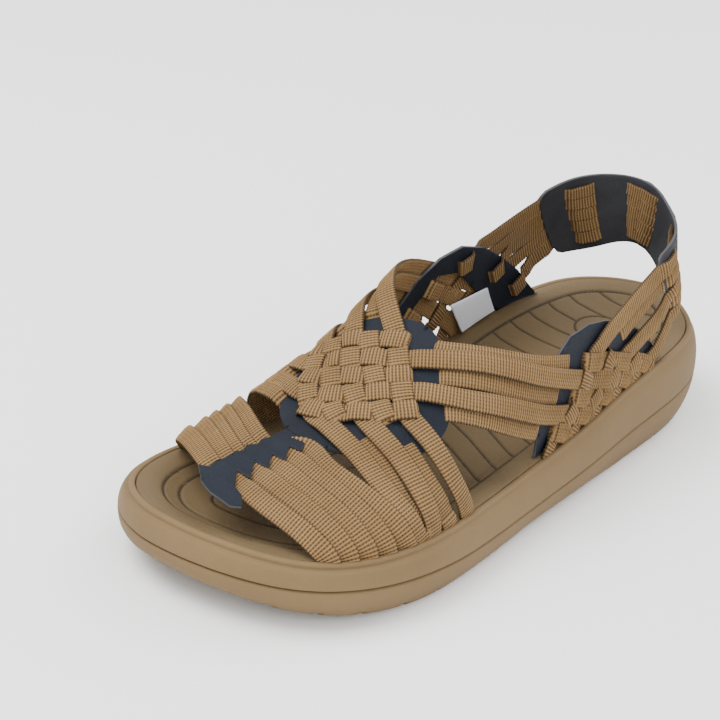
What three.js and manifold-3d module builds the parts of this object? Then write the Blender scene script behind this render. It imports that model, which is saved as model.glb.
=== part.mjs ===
// Left huarache sandal: twenty webbing straps woven over the foot, dark leather behind
// the weave, and a footbed set into a two layer moulded sole.
// Millimetres, +Z up. The toe points to -Y and the outer side of the foot is at +X.
import * as THREE from 'three';
import { mergeVertices } from 'three/addons/utils/BufferGeometryUtils.js';
import Module from 'manifold-3d';

const wasm = await Module();
wasm.setup();
const { Manifold, Mesh } = wasm;

// Driving sizes of the sole
const SOLE_LENGTH = 283;
const BALL_WIDTH = 104;
const HEEL_HEIGHT = 38;
const SIDE_BULGE = 3.4;
const FOOTBED_DEPTH = 8;
const FOOTBED_HOLLOW = 4.5;
const LUG_GROOVE_WIDTH = 3;
const LUG_GROOVE_DEPTH = 2;

// Driving sizes of the upper
const INSTEP_HEIGHT = 74;
const HEEL_LEAN = 18;
const STRAP_WIDTH = 7;
const STRAP_THICKNESS = 1.4;
const STRAP_TUCK = 5;
const SLOT_INSET = 2.4;
const SLOT_DEPTH = 7.6;
const LEATHER_THICKNESS = 1.3;
const LABEL_THICKNESS = 0.8;
const TAPE_THICKNESS = 1.2;
const TAPE_HEIGHT = 3.4;

// Clearances: between pieces that face each other, and where flat facets of leather and
// webbing lie round the same curve
const PIECE_GAP = 0.3;
const LAY_GAP = 0.6;

// The sole seen from above and from the side.
// along runs from the heel, 0, to the toe, 1. outer and inner are shares of the ball width.
// rim, groove and bottom are heights as shares of the heel height.
const SOLE_COLUMNS = ['along', 'outer', 'inner', 'rim', 'groove', 'bottom'];
const SOLE_ROWS = [
  [0.0, 0.0, 0.0, 1.0, 0.474, 0.105],
  [0.03, 0.187, 0.197, 0.989, 0.474, 0.058],
  [0.08, 0.308, 0.303, 0.974, 0.463, 0.016],
  [0.14, 0.363, 0.347, 0.95, 0.45, 0.0],
  [0.3, 0.41, 0.364, 0.855, 0.397, 0.0],
  [0.4, 0.438, 0.349, 0.758, 0.353, 0.03],
  [0.52, 0.464, 0.346, 0.679, 0.316, 0.03],
  [0.62, 0.49, 0.38, 0.647, 0.305, 0.0],
  [0.73, 0.514, 0.448, 0.632, 0.326, 0.0],
  [0.76, 0.514, 0.465, 0.629, 0.34, 0.004],
  [0.82, 0.496, 0.488, 0.626, 0.366, 0.03],
  [0.89, 0.433, 0.481, 0.642, 0.405, 0.084],
  [0.95, 0.301, 0.409, 0.684, 0.447, 0.163],
  [0.985, 0.12, 0.293, 0.737, 0.484, 0.232],
  [1.0, -0.133, 0.133, 0.763, 0.497, 0.268],
];

// The last above the rim. ridge is the line of its top, as a share of the ball width,
// height is a share of the instep height, and power is how square its section is.
const LAST_COLUMNS = ['along', 'ridge', 'height', 'power'];
const LAST_ROWS = [
  [0.0, 0.03, 1.486, 1.6],
  [0.33, 0.0, 1.486, 1.6],
  [0.42, -0.038, 1.297, 1.9],
  [0.5, -0.096, 0.98, 2.15],
  [0.56, -0.096, 0.828, 2.2],
  [0.6, -0.087, 0.743, 2.2],
  [0.65, -0.077, 0.615, 2.2],
  [0.7, -0.067, 0.507, 2.2],
  [0.75, -0.058, 0.399, 2.2],
  [0.8, -0.058, 0.304, 2.2],
  [0.85, -0.067, 0.243, 2.2],
  [0.906, -0.087, 0.196, 2.2],
  [0.95, -0.096, 0.155, 2.2],
  [1.0, -0.115, 0.108, 2.2],
];

// Straps. A foot is the share along the sole where the strap enters the rim.
// A place is [along, around]: around turns from 0 at the outer rim over the top to 180.
const TOE_STRAPS = [
  { outer: 0.911, places: [[0.923, 24], [0.917, 62], [0.913, 105]], inner: 0.829 },
  { outer: 0.888, places: [[0.893, 28], [0.888, 67], [0.891, 105]], inner: 0.797 },
  { outer: 0.864, places: [[0.868, 31.5], [0.864, 66], [0.875, 104]], inner: 0.776 },
  { outer: 0.838, places: [[0.846, 34.5], [0.841, 65], [0.859, 101]], inner: 0.754 },
  { outer: 0.8085, places: [[0.827, 36.5], [0.817, 64.5], [0.84, 97]], inner: 0.733 },
];
const REAR_OUTER_STRAPS = [
  {
    inner: 0.624,
    places: [
      [0.69, 112], [0.669, 97], [0.647, 77], [0.617, 57], [0.501, 35], [0.396, 29.3],
      [0.307, 18.3],
    ],
    outer: 0.235,
  },
  {
    inner: 0.645,
    places: [[0.711, 111], [0.692, 91], [0.665, 70], [0.599, 47.6], [0.507, 32], [0.408, 22.7]],
    outer: 0.286,
  },
  {
    inner: 0.666,
    places: [[0.731, 107.5], [0.712, 82.5], [0.68, 62.7], [0.511, 25.6], [0.425, 16.6]],
    outer: 0.339,
  },
  {
    inner: 0.687,
    places: [[0.752, 100], [0.729, 72.7], [0.691, 55], [0.626, 35.4], [0.512, 18.2], [0.438, 10.2]],
    outer: 0.396,
  },
  {
    inner: 0.712,
    places: [[0.769, 90], [0.743, 60.4], [0.709, 46.8], [0.511, 11.3]],
    outer: 0.452,
  },
];
const REAR_INNER_STRAPS = [
  {
    outer: 0.789,
    places: [
      [0.799, 20], [0.787, 41], [0.777, 68], [0.769, 90], [0.731, 107.5], [0.69, 112],
      [0.588, 127], [0.5, 135],
    ],
    inner: 0.458,
  },
  {
    outer: 0.777,
    places: [
      [0.789, 15], [0.777, 34], [0.76, 73], [0.723, 93.5], [0.679, 106], [0.578, 120.5],
      [0.493, 127],
    ],
    inner: 0.398,
  },
  {
    outer: 0.76,
    places: [
      [0.764, 15], [0.758, 30], [0.743, 60.4], [0.712, 82.5], [0.669, 97], [0.578, 111],
      [0.491, 120],
    ],
    inner: 0.336,
  },
  {
    outer: 0.73,
    places: [
      [0.745, 19], [0.743, 30], [0.731, 51], [0.698, 72], [0.662, 88.4], [0.578, 103],
      [0.5, 113.4],
    ],
    inner: 0.277,
  },
  {
    outer: 0.693,
    places: [
      [0.71, 15], [0.714, 30], [0.709, 46.8], [0.68, 62.7], [0.647, 77], [0.599, 96.5],
      [0.518, 107.7],
    ],
    inner: 0.221,
  },
];

// Heel straps: their places from the outer rim up to the band, the share of the band's
// height at which they pass through it, and their places down to the inner rim.
const HEEL_STRAPS = [
  {
    outer: 0.486,
    rise: [[0.425, 16.6], [0.396, 29.3], [0.283, 43]],
    level: 0.82,
    fall: [[0.282, 130], [0.387, 129], [0.415, 136]],
    inner: 0.493,
  },
  {
    outer: 0.424,
    rise: [[0.36, 14.2], [0.347, 24.3]],
    level: 0.66,
    fall: [[0.281, 139], [0.345, 141]],
    inner: 0.429,
  },
  { outer: 0.367, rise: [[0.307, 18.3], [0.198, 32]], level: 0.5, fall: [[0.281, 148.3]], inner: 0.367 },
  { outer: 0.311, rise: [[0.255, 15]], level: 0.34, fall: [[0.25, 159]], inner: 0.306 },
  { outer: 0.258, rise: [[0.225, 5]], level: 0.18, fall: [[0.22, 168.5]], inner: 0.249 },
];

// The heel band from its outer front edge, 0, to its inner front edge, 1.
// Turns are degrees round the heel from +X, heights are shares of the heel height.
const BAND_COLUMNS = ['along', 'topTurn', 'bottomTurn', 'top', 'bottom'];
const BAND_ROWS = [
  [0.0, -2, 30, 2.07, 1.25],
  [0.25, 44, 60, 2.22, 1.42],
  [0.5, 90, 90, 2.4, 1.65],
  [0.75, 130, 115, 2.36, 1.52],
  [1.0, 170, 140, 2.2, 1.39],
];
const BAND_CENTRE_ALONG = 0.217;
const BAND_PASSES = 7;
const BAND_STRAP_WIDTH = 4.8;

// Crosswise grooves of the bottom, as shares along the sole
const LUG_GROOVES = [0.07, 0.13, 0.19, 0.25, 0.31, 0.63, 0.69, 0.75, 0.81, 0.87, 0.92, 0.96];

// Leather outlines. Corners are [across, along] as seen from above, across being a share
// of half the ball width, or [along, up] as seen from the side, up being a share of the
// instep height above the rim.
const TOE_STRIP_OUTLINE = [
  [-0.34, 0.923], [-0.19, 0.946], [-0.05, 0.957], [0.13, 0.959], [0.18, 0.948], [0.12, 0.936],
  [0.02, 0.929], [-0.094, 0.903], [0.021, 0.903], [-0.073, 0.876], [0.036, 0.874],
  [-0.038, 0.851], [0.067, 0.852], [0.006, 0.829], [0.09, 0.826], [0.042, 0.809],
  [-0.154, 0.806], [-0.158, 0.832], [-0.2, 0.84], [-0.183, 0.849], [-0.23, 0.859],
  [-0.217, 0.868], [-0.25, 0.876], [-0.235, 0.884], [-0.265, 0.9], [-0.26, 0.918],
];
const VAMP_OUTLINE = [
  [-0.16, 0.626], [0.12, 0.614], [0.26, 0.616], [0.38, 0.624], [0.51, 0.639], [0.61, 0.657],
  [0.69, 0.677], [0.72, 0.702], [0.69, 0.734], [0.58, 0.762], [0.4, 0.785], [0.2, 0.8],
  [0.03, 0.804], [-0.16, 0.802], [-0.31, 0.788], [-0.4, 0.767], [-0.46, 0.735], [-0.48, 0.7],
  [-0.46, 0.668], [-0.36, 0.641],
];
const VAMP_OPENING = [[-0.33, 0.692], [0.0, 0.668], [0.3, 0.704], [0.17, 0.737], [-0.08, 0.748]];
const QUARTERS = [
  {
    name: 'quarter_backing_outer',
    side: 1,
    outline: [
      [0.518, -0.15], [0.514, 0.16], [0.5, 0.346], [0.472, 0.458], [0.436, 0.526], [0.39, 0.516],
      [0.345, 0.458], [0.281, 0.338], [0.231, 0.185], [0.189, 0.033], [0.182, -0.28],
    ],
    opening: [
      [0.465, -0.26], [0.458, 0.054], [0.429, 0.203], [0.398, 0.3], [0.352, 0.222],
      [0.302, 0.102], [0.267, -0.043], [0.26, -0.35],
    ],
  },
  {
    name: 'quarter_backing_inner',
    side: -1,
    outline: [
      [0.521, -0.15], [0.518, 0.261], [0.5, 0.456], [0.472, 0.568], [0.429, 0.633], [0.38, 0.631],
      [0.323, 0.532], [0.267, 0.387], [0.21, 0.219], [0.161, 0.027], [0.154, -0.28],
    ],
    opening: [
      [0.488, -0.26], [0.485, 0.2], [0.466, 0.4], [0.424, 0.52], [0.38, 0.47], [0.34, 0.345],
      [0.302, 0.202], [0.246, 0.03], [0.231, -0.36],
    ],
  },
];
const LABEL_OUTLINE = [[0.379, 0.271], [0.288, 0.226], [0.256, 0.033], [0.335, 0.028]];

// Where the leather lies against the webbing, from the surface of the last outwards
const CROSSING_LIFT = STRAP_THICKNESS / 2 - 0.2;
const BACKING_LEVEL = -(CROSSING_LIFT + STRAP_THICKNESS / 2 + LAY_GAP + LEATHER_THICKNESS / 2);
const LEATHER_STEP = LEATHER_THICKNESS / 2 + LAY_GAP + STRAP_THICKNESS / 2;
const BEHIND_LEVEL = BACKING_LEVEL - LEATHER_STEP;
const SPAN_LEVEL = -(STRAP_THICKNESS + 0.15);
const TOE_DIP = -1.2;
const TOE_STRIP_LEVEL = TOE_DIP + LEATHER_STEP;
const LABEL_LEVEL = BACKING_LEVEL - (LEATHER_THICKNESS + LABEL_THICKNESS) / 2 - PIECE_GAP;
const TRAY_DEPTH = FOOTBED_DEPTH + PIECE_GAP;
const SLOT_HALF = STRAP_THICKNESS / 2 + 2.5 * PIECE_GAP;
const REAR_STEP = 1.25 * STRAP_WIDTH;

// Curves through the columns of a table
function column(names, rows, name) {
  const index = names.indexOf(name);
  return rows.map((row) => row[index]);
}

function span(places, value) {
  let index = 0;
  while (index < places.length - 2 && value > places[index + 1]) {
    index += 1;
  }
  return index;
}

function smoothCurve(places, values) {
  const count = places.length;
  const bend = new Array(count).fill(0);
  const pivot = new Array(count).fill(1);
  const load = new Array(count).fill(0);
  for (let i = 1; i < count - 1; i += 1) {
    const before = places[i] - places[i - 1];
    const after = places[i + 1] - places[i];
    const turn = (values[i + 1] - values[i]) / after - (values[i] - values[i - 1]) / before;
    const share = i > 1 ? before / pivot[i - 1] : 0;
    pivot[i] = 2 * (before + after) - share * before;
    load[i] = 6 * turn - share * load[i - 1];
  }
  for (let i = count - 2; i > 0; i -= 1) {
    bend[i] = (load[i] - (places[i + 1] - places[i]) * bend[i + 1]) / pivot[i];
  }
  return (value) => {
    const i = span(places, value);
    const step = places[i + 1] - places[i];
    const a = (places[i + 1] - value) / step;
    const b = 1 - a;
    const sag = ((a ** 3 - a) * bend[i] + (b ** 3 - b) * bend[i + 1]) * (step ** 2 / 6);
    return a * values[i] + b * values[i + 1] + sag;
  };
}

function steadyCurve(places, values) {
  const slopes = values.map((value, i) => {
    if (i === 0 || i === values.length - 1) {
      return 0;
    }
    const before = (value - values[i - 1]) / (places[i] - places[i - 1]);
    const after = (values[i + 1] - value) / (places[i + 1] - places[i]);
    return before * after <= 0 ? 0 : (2 * before * after) / (before + after);
  });
  return (value) => {
    const i = span(places, value);
    const step = places[i + 1] - places[i];
    const t = Math.min(1, Math.max(0, (value - places[i]) / step));
    const rise = t * t * (3 - 2 * t);
    const lead = t * (1 - t) ** 2 * slopes[i] - t * t * (1 - t) * slopes[i + 1];
    return values[i] * (1 - rise) + values[i + 1] * rise + lead * step;
  };
}

// Stations are spread by the turn round an ellipse, so that both ends are drawn finely.
const turnOf = (along) => Math.acos(1 - 2 * Math.min(1, Math.max(0, along)));
const soleTurns = column(SOLE_COLUMNS, SOLE_ROWS, 'along').map(turnOf);
const soleCurve = (name, make) => make(soleTurns, column(SOLE_COLUMNS, SOLE_ROWS, name));
const outerShare = soleCurve('outer', smoothCurve);
const innerShare = soleCurve('inner', smoothCurve);
const rimShare = soleCurve('rim', smoothCurve);
const grooveShare = soleCurve('groove', smoothCurve);
const bottomShare = soleCurve('bottom', steadyCurve);
const outerWidth = (along) => BALL_WIDTH * outerShare(turnOf(along));
const innerWidth = (along) => BALL_WIDTH * innerShare(turnOf(along));
const rimHeight = (along) => HEEL_HEIGHT * rimShare(turnOf(along));
const grooveHeight = (along) => HEEL_HEIGHT * grooveShare(turnOf(along));
const bottomHeight = (along) => HEEL_HEIGHT * bottomShare(turnOf(along));

const lastPlaces = column(LAST_COLUMNS, LAST_ROWS, 'along');
const lastCurve = (name) => steadyCurve(lastPlaces, column(LAST_COLUMNS, LAST_ROWS, name));
const ridgeShare = lastCurve('ridge');
const heightShare = lastCurve('height');
const powerAt = lastCurve('power');
const ridgeAt = (along) => BALL_WIDTH * ridgeShare(along);
const lastHeight = (along) => INSTEP_HEIGHT * heightShare(along);

const toY = (along) => SOLE_LENGTH * (0.5 - along);
const toAlong = (y) => 0.5 - y / SOLE_LENGTH;
const ease = (value) => {
  const t = Math.min(1, Math.max(0, value));
  return t * t * (3 - 2 * t);
};

// The last: negative inside, zero on its surface. Its heel leans back over the rim.
const HEEL_START = 0.24;
const HEEL_END = 0.058;
const HEEL_RISE = 0.12;
function lastField(point) {
  const along = toAlong(point.y);
  const rim = rimHeight(along);
  const rise = Math.max(0, point.z - rim);
  const lean = HEEL_LEAN * ease((HEEL_START - along) / (HEEL_START - HEEL_END));
  const creep = HEEL_RISE * (point.z - rim) * ease((HEEL_START - along) / (HEEL_START - HEEL_END));
  const shifted = toAlong(point.y + lean + creep);
  const ridge = ridgeAt(shifted);
  const outside = point.x > ridge;
  const half = outside ? outerWidth(Math.abs(shifted)) : innerWidth(Math.abs(shifted));
  const inset = SLOT_INSET * Math.min(1, Math.abs(half) / (SLOT_INSET * 8));
  const reach = half - inset + (outside ? -ridge : ridge);
  const power = powerAt(along);
  const left = 1 - (rise / lastHeight(along)) ** power;
  const scale = Math.sign(left) * Math.abs(left) ** (2 / power);
  return (point.x - ridge) ** 2 - Math.sign(shifted) * reach * Math.abs(reach) * scale;
}

const PROBE = 0.05;
function lastSlope(point) {
  const slope = new THREE.Vector3();
  for (const axis of ['x', 'y', 'z']) {
    const ahead = point.clone();
    const behind = point.clone();
    ahead[axis] += PROBE;
    behind[axis] -= PROBE;
    slope[axis] = (lastField(ahead) - lastField(behind)) / (2 * PROBE);
  }
  return slope;
}

function lastNormal(point) {
  return lastSlope(point).normalize();
}

const SEAT_ROUNDS = 10;
const SEAT_STRIDE = 6;
function seat(point) {
  const seated = point.clone();
  for (let round = 0; round < SEAT_ROUNDS; round += 1) {
    const slope = lastSlope(seated);
    const move = slope.multiplyScalar(lastField(seated) / Math.max(1e-6, slope.lengthSq()));
    seated.sub(move.clampLength(0, SEAT_STRIDE));
  }
  return seated;
}

const CAST_STRIDE = 3;
const CAST_HALVINGS = 26;
function cast(origin, direction) {
  let near = 0;
  let far = CAST_STRIDE;
  const at = (reach) => origin.clone().addScaledVector(direction, reach);
  while (lastField(at(far)) < 0 && far < SOLE_LENGTH) {
    near = far;
    far += CAST_STRIDE;
  }
  for (let halving = 0; halving < CAST_HALVINGS; halving += 1) {
    const middle = (near + far) / 2;
    if (lastField(at(middle)) < 0) {
      near = middle;
    } else {
      far = middle;
    }
  }
  return at(near);
}

function onLast([along, around]) {
  const turn = THREE.MathUtils.degToRad(around);
  const origin = new THREE.Vector3(ridgeAt(along), toY(along), rimHeight(along));
  return cast(origin, new THREE.Vector3(Math.cos(turn), 0, Math.sin(turn)));
}

function onTop(x, y) {
  return cast(new THREE.Vector3(x, y, rimHeight(toAlong(y))), new THREE.Vector3(0, 0, 1));
}

function onSide(y, z, side) {
  return cast(new THREE.Vector3(0, y, z), new THREE.Vector3(side, 0, 0));
}

function onRim(along, side, drop) {
  const y = toY(along);
  return onSide(y, rimHeight(along) - drop, side);
}

// Solids
function toManifold(geometry) {
  const bare = geometry.clone();
  bare.deleteAttribute('normal');
  bare.deleteAttribute('uv');
  const merged = mergeVertices(bare, 1e-4);
  return new Manifold(new Mesh({
    numProp: 3,
    vertProperties: new Float32Array(merged.attributes.position.array),
    triVerts: new Uint32Array(merged.index.array),
  }));
}

// A loft through closed rings of as many points each, capped by strips between their halves
function loft(rings) {
  const count = rings[0].length;
  const points = rings.flat();
  const faces = [];
  for (let ring = 0; ring < rings.length - 1; ring += 1) {
    for (let i = 0; i < count; i += 1) {
      const a = ring * count + i;
      const b = ring * count + ((i + 1) % count);
      faces.push([a, b, b + count], [a, b + count, a + count]);
    }
  }
  const last = (rings.length - 1) * count;
  for (let i = 0; i < count / 2 - 1; i += 1) {
    const mate = count - 1 - i;
    faces.push([i, mate, i + 1], [i + 1, mate, mate - 1]);
    faces.push([last + i, last + i + 1, last + mate], [last + i + 1, last + mate - 1, last + mate]);
  }
  const volume = faces.reduce((sum, [a, b, c]) => {
    return sum + points[a].dot(points[b].clone().cross(points[c]));
  }, 0);
  const turned = volume < 0 ? faces.map(([a, b, c]) => [a, c, b]) : faces;
  return new Manifold(new Mesh({
    numProp: 3,
    vertProperties: new Float32Array(points.flatMap((point) => point.toArray())),
    triVerts: new Uint32Array(turned.flat()),
  }));
}

function prism(corners, smooth, axes, from, to) {
  const flat = corners.map(([u, v]) => new THREE.Vector2(u, v));
  const shape = new THREE.Shape();
  if (smooth) {
    shape.setFromPoints(new THREE.SplineCurve([...flat, flat[0]]).getPoints(flat.length * 2).slice(0, -1));
  } else {
    shape.setFromPoints(flat);
  }
  const block = new THREE.ExtrudeGeometry(shape, { depth: to - from, bevelEnabled: false });
  block.translate(0, 0, from);
  block.applyMatrix4(new THREE.Matrix4().makeBasis(...axes));
  return toManifold(block);
}

const FROM_ABOVE = [
  new THREE.Vector3(1, 0, 0), new THREE.Vector3(0, 1, 0), new THREE.Vector3(0, 0, 1),
];
const FROM_SIDE = [
  new THREE.Vector3(0, 1, 0), new THREE.Vector3(0, 0, 1), new THREE.Vector3(1, 0, 0),
];
const aboveCorner = ([across, along]) => [(across * BALL_WIDTH) / 2, toY(along)];
const sideCorner = ([along, up]) => [toY(along), rimHeight(along) + up * INSTEP_HEIGHT];

// A sheet between two forms that follow the last, one on each side of its own level
function sheet(rows, level, thickness) {
  const lifted = (point, lift) => point.clone().addScaledVector(lastNormal(point), lift);
  const rings = rows.map((row) => {
    const lift = row.map((point) => level(point));
    const front = row.map((point, i) => lifted(point, lift[i] + thickness / 2));
    const back = row.map((point, i) => lifted(point, lift[i] - thickness / 2));
    return [...front, ...back.reverse()];
  });
  return loft(rings);
}

function grid(uSteps, vSteps, place) {
  const rows = [];
  for (let i = 0; i <= uSteps; i += 1) {
    const row = [];
    for (let j = 0; j <= vSteps; j += 1) {
      row.push(place(i / uSteps, j / vSteps));
    }
    rows.push(row);
  }
  return rows;
}

// Straps: a line on the last, marks where it is lifted or pressed in, and a flat section
const SPLINE_STEPS = 12;
function strapLine(controls) {
  const curve = new THREE.CatmullRomCurve3(controls, false, 'centripetal');
  const count = (controls.length - 1) * SPLINE_STEPS;
  const points = [];
  for (let i = 0; i <= count; i += 1) {
    points.push(seat(curve.getPoint(i / count)));
  }
  const lengths = [0];
  for (let i = 1; i <= count; i += 1) {
    lengths.push(lengths[i - 1] + points[i].distanceTo(points[i - 1]));
  }
  return { points, lengths, marks: [], total: lengths[count] };
}

function pointAt(line, length) {
  const i = span(line.lengths, length);
  const step = line.lengths[i + 1] - line.lengths[i];
  const share = Math.min(1, Math.max(0, (length - line.lengths[i]) / step));
  return line.points[i].clone().lerp(line.points[i + 1], share);
}

// A strap stays upright from its end in the slot to a little above the rim.
const FOOT_STEER = 0.6;
const FOOT_RISE = 2.4;
const FOOT_LENGTH = STRAP_TUCK + FOOT_RISE;
function footControls(along, side, next) {
  const rim = onRim(along, side, -FOOT_RISE);
  const toward = new THREE.Vector3().subVectors(next, rim);
  const steer = THREE.MathUtils.clamp(toward.y / Math.max(1, toward.z), -FOOT_STEER, FOOT_STEER);
  const end = onRim(toAlong(rim.y - steer * FOOT_LENGTH), side, STRAP_TUCK);
  return [end, rim];
}

function openStrap(spec, fromSide) {
  const middle = spec.places.map(onLast);
  const first = fromSide > 0 ? spec.outer : spec.inner;
  const last = fromSide > 0 ? spec.inner : spec.outer;
  const start = footControls(first, fromSide, middle[0]);
  const end = footControls(last, -fromSide, middle[middle.length - 1]).reverse();
  return strapLine([...start, ...middle, ...end]);
}

const bandPlaces = column(BAND_COLUMNS, BAND_ROWS, 'along');
const bandCurve = (name) => smoothCurve(bandPlaces, column(BAND_COLUMNS, BAND_ROWS, name));
const bandTopTurn = bandCurve('topTurn');
const bandBottomTurn = bandCurve('bottomTurn');
const bandTop = bandCurve('top');
const bandBottom = bandCurve('bottom');
function onBand(along, level) {
  const mix = THREE.MathUtils.lerp;
  const turn = THREE.MathUtils.degToRad(mix(bandBottomTurn(along), bandTopTurn(along), level));
  const height = HEEL_HEIGHT * mix(bandBottom(along), bandTop(along), level);
  const centre = new THREE.Vector3(0, toY(BAND_CENTRE_ALONG), height);
  return cast(centre, new THREE.Vector3(Math.cos(turn), Math.sin(turn), 0));
}

const BAND_LIFT = LEATHER_STEP;
const BAND_FLAT = 2.2;
function heelStrap(spec) {
  const rise = spec.rise.map(onLast);
  const fall = spec.fall.map(onLast);
  const passes = [];
  for (let pass = 0; pass < BAND_PASSES; pass += 1) {
    passes.push(onBand((pass + 0.5) / BAND_PASSES, spec.level));
  }
  const start = footControls(spec.outer, 1, rise[0]);
  const end = footControls(spec.inner, -1, fall[fall.length - 1]).reverse();
  const line = strapLine([...start, ...rise, ...passes, ...fall, ...end]);
  const before = start.length + rise.length;
  line.bandStart = line.lengths[before * SPLINE_STEPS] - STRAP_WIDTH;
  line.bandEnd = line.lengths[(before + BAND_PASSES - 1) * SPLINE_STEPS] + STRAP_WIDTH;
  passes.forEach((point, pass) => {
    const length = line.lengths[(before + pass) * SPLINE_STEPS];
    line.marks.push({ length, lift: pass % 2 === 0 ? BAND_LIFT : -BAND_LIFT, flat: BAND_FLAT });
  });
  return line;
}

const CROSSING_FLAT = 0.56 * STRAP_WIDTH;
function crossing(first, second) {
  let best = { gap: Infinity };
  first.points.forEach((point, i) => {
    second.points.forEach((other, j) => {
      const gap = point.distanceTo(other);
      if (gap < best.gap) {
        best = { gap, first: first.lengths[i], second: second.lengths[j] };
      }
    });
  });
  return best;
}

function weave(over, under) {
  const meet = crossing(over, under);
  over.marks.push({ length: meet.first, lift: CROSSING_LIFT, flat: CROSSING_FLAT });
  under.marks.push({ length: meet.second, lift: -CROSSING_LIFT, flat: CROSSING_FLAT });
}

// A strap that passes behind leather stays on the inner side over the span that follows.
function passBehind(line, length, spanSide) {
  line.marks.push({ length, lift: BEHIND_LEVEL, flat: CROSSING_FLAT, spanSide });
}

const LIFT_RAMP = 6;
function liftKeys(line) {
  const marks = [...line.marks].sort((a, b) => a.length - b.length);
  const keys = [];
  marks.forEach((mark, i) => {
    const start = mark.length - mark.flat;
    const end = mark.length + mark.flat;
    const before = i > 0 ? marks[i - 1].length + marks[i - 1].flat : -Infinity;
    const after = i < marks.length - 1 ? marks[i + 1].length - marks[i + 1].flat : Infinity;
    if (start - before > 2 * LIFT_RAMP) {
      keys.push([start - LIFT_RAMP, mark.spanSide === -1 ? SPAN_LEVEL : 0]);
    }
    keys.push([start, mark.lift], [end, mark.lift]);
    if (after - end > 2 * LIFT_RAMP) {
      keys.push([end + LIFT_RAMP, mark.spanSide === 1 ? SPAN_LEVEL : 0]);
    }
  });
  return keys.filter(([length]) => length > FOOT_LENGTH && length < line.total - FOOT_LENGTH);
}

const STATION_STEP = 18;
function stationsOf(line) {
  const rimKeys = [[0, 0], [FOOT_LENGTH, 0]];
  const farKeys = [[line.total - FOOT_LENGTH, 0], [line.total, 0]];
  const keys = [...rimKeys, ...liftKeys(line), ...farKeys];
  const stations = [];
  for (let i = 0; i < keys.length - 1; i += 1) {
    const [from, low] = keys[i];
    const [to, high] = keys[i + 1];
    const parts = Math.max(1, Math.round((to - from) / STATION_STEP));
    for (let part = 0; part < parts; part += 1) {
      const share = part / parts;
      stations.push({ length: from + share * (to - from), lift: low + share * (high - low) });
    }
  }
  stations.push({ length: line.total, lift: 0 });
  return stations.filter((station, i) => i === 0 || station.length - stations[i - 1].length > 0.2);
}

function strapWidthAt(line, length) {
  if (line.bandStart === undefined) {
    return STRAP_WIDTH;
  }
  const into = ease((length - line.bandStart) / STRAP_WIDTH);
  const outOf = ease((line.bandEnd - length) / STRAP_WIDTH);
  return STRAP_WIDTH + (BAND_STRAP_WIDTH - STRAP_WIDTH) * into * outOf;
}

// Straps that overlap like shingles are tilted about their own line, but not at their ends.
const TILT_EASE = 12;
function tiltAt(line, length) {
  const nearest = Math.min(length, line.total - length) - FOOT_LENGTH;
  return THREE.MathUtils.degToRad((line.tilt ?? 0) * ease(nearest / TILT_EASE));
}

function strapSolid(line, spare) {
  const half = STRAP_THICKNESS / 2 + spare;
  const rings = stationsOf(line).map(({ length, lift }) => {
    const point = pointAt(line, length);
    const ahead = pointAt(line, length + 1).sub(pointAt(line, length - 1)).normalize();
    const normal = lastNormal(point).applyAxisAngle(ahead, tiltAt(line, length));
    const across = new THREE.Vector3().crossVectors(normal, ahead).normalize();
    const reach = strapWidthAt(line, length) / 2 + spare;
    const corner = (side, face) => point.clone()
      .addScaledVector(normal, lift + face * half)
      .addScaledVector(across, side * reach);
    return [corner(1, 1), corner(-1, 1), corner(-1, -1), corner(1, -1)];
  });
  return loft(rings);
}

// All the webbing
const toeStraps = TOE_STRAPS.map((spec) => openStrap(spec, 1));
const rearOuter = REAR_OUTER_STRAPS.map((spec) => openStrap(spec, -1));
const rearInner = REAR_INNER_STRAPS.map((spec) => openStrap(spec, 1));
const heelStraps = HEEL_STRAPS.map(heelStrap);
const FIRST_PLACE = 2;

// Each front strap laps over the next one, so its rear edge is the raised one.
const SHINGLE_TILT = -14;
toeStraps.forEach((line) => {
  line.tilt = SHINGLE_TILT;
  [FIRST_PLACE + 1, FIRST_PLACE + 2].forEach((place) => {
    const length = line.lengths[place * SPLINE_STEPS];
    line.marks.push({ length, lift: TOE_DIP, flat: CROSSING_FLAT / 2 });
  });
});

rearOuter.forEach((outerLine, i) => {
  rearInner.forEach((innerLine, j) => {
    if ((i + j) % 2 === 0) {
      weave(outerLine, innerLine);
    } else {
      weave(innerLine, outerLine);
    }
  });
});

function passBehindWeave(line) {
  const lengths = line.marks.map((mark) => mark.length);
  passBehind(line, Math.min(...lengths) - REAR_STEP, 0);
  passBehind(line, Math.max(...lengths) + REAR_STEP, 1);
}

rearOuter.filter((line, i) => i % 2 === 0).forEach(passBehindWeave);
rearInner.filter((line, i) => i % 2 === 1).forEach(passBehindWeave);

// Each side triangle: the nth strap from the top meets the heel straps until it reaches the sole.
function weaveQuarter(straps, heelOverWhenEven) {
  straps.forEach((line, i) => {
    heelStraps.forEach((heel, k) => {
      if (i + k < straps.length) {
        if (((i + k) % 2 === 0) === heelOverWhenEven) {
          weave(heel, line);
        } else {
          weave(line, heel);
        }
      }
    });
  });
}

const outerQuarter = rearOuter;
const innerQuarter = [...rearInner].reverse();
weaveQuarter(outerQuarter, false);
weaveQuarter(innerQuarter, true);
outerQuarter.forEach((line, i) => {
  if (i % 2 === 0) {
    passBehind(line, crossing(line, heelStraps[0]).first - REAR_STEP, -1);
  }
});
innerQuarter.forEach((line, i) => {
  if (i % 2 === 1) {
    passBehind(line, crossing(line, heelStraps[0]).first - REAR_STEP, -1);
  }
});
heelStraps.forEach((line, k) => {
  if (k % 2 === 1) {
    passBehind(line, crossing(line, outerQuarter[0]).first + REAR_STEP, 1);
  } else {
    passBehind(line, crossing(line, innerQuarter[0]).first - REAR_STEP, -1);
  }
});

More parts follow.
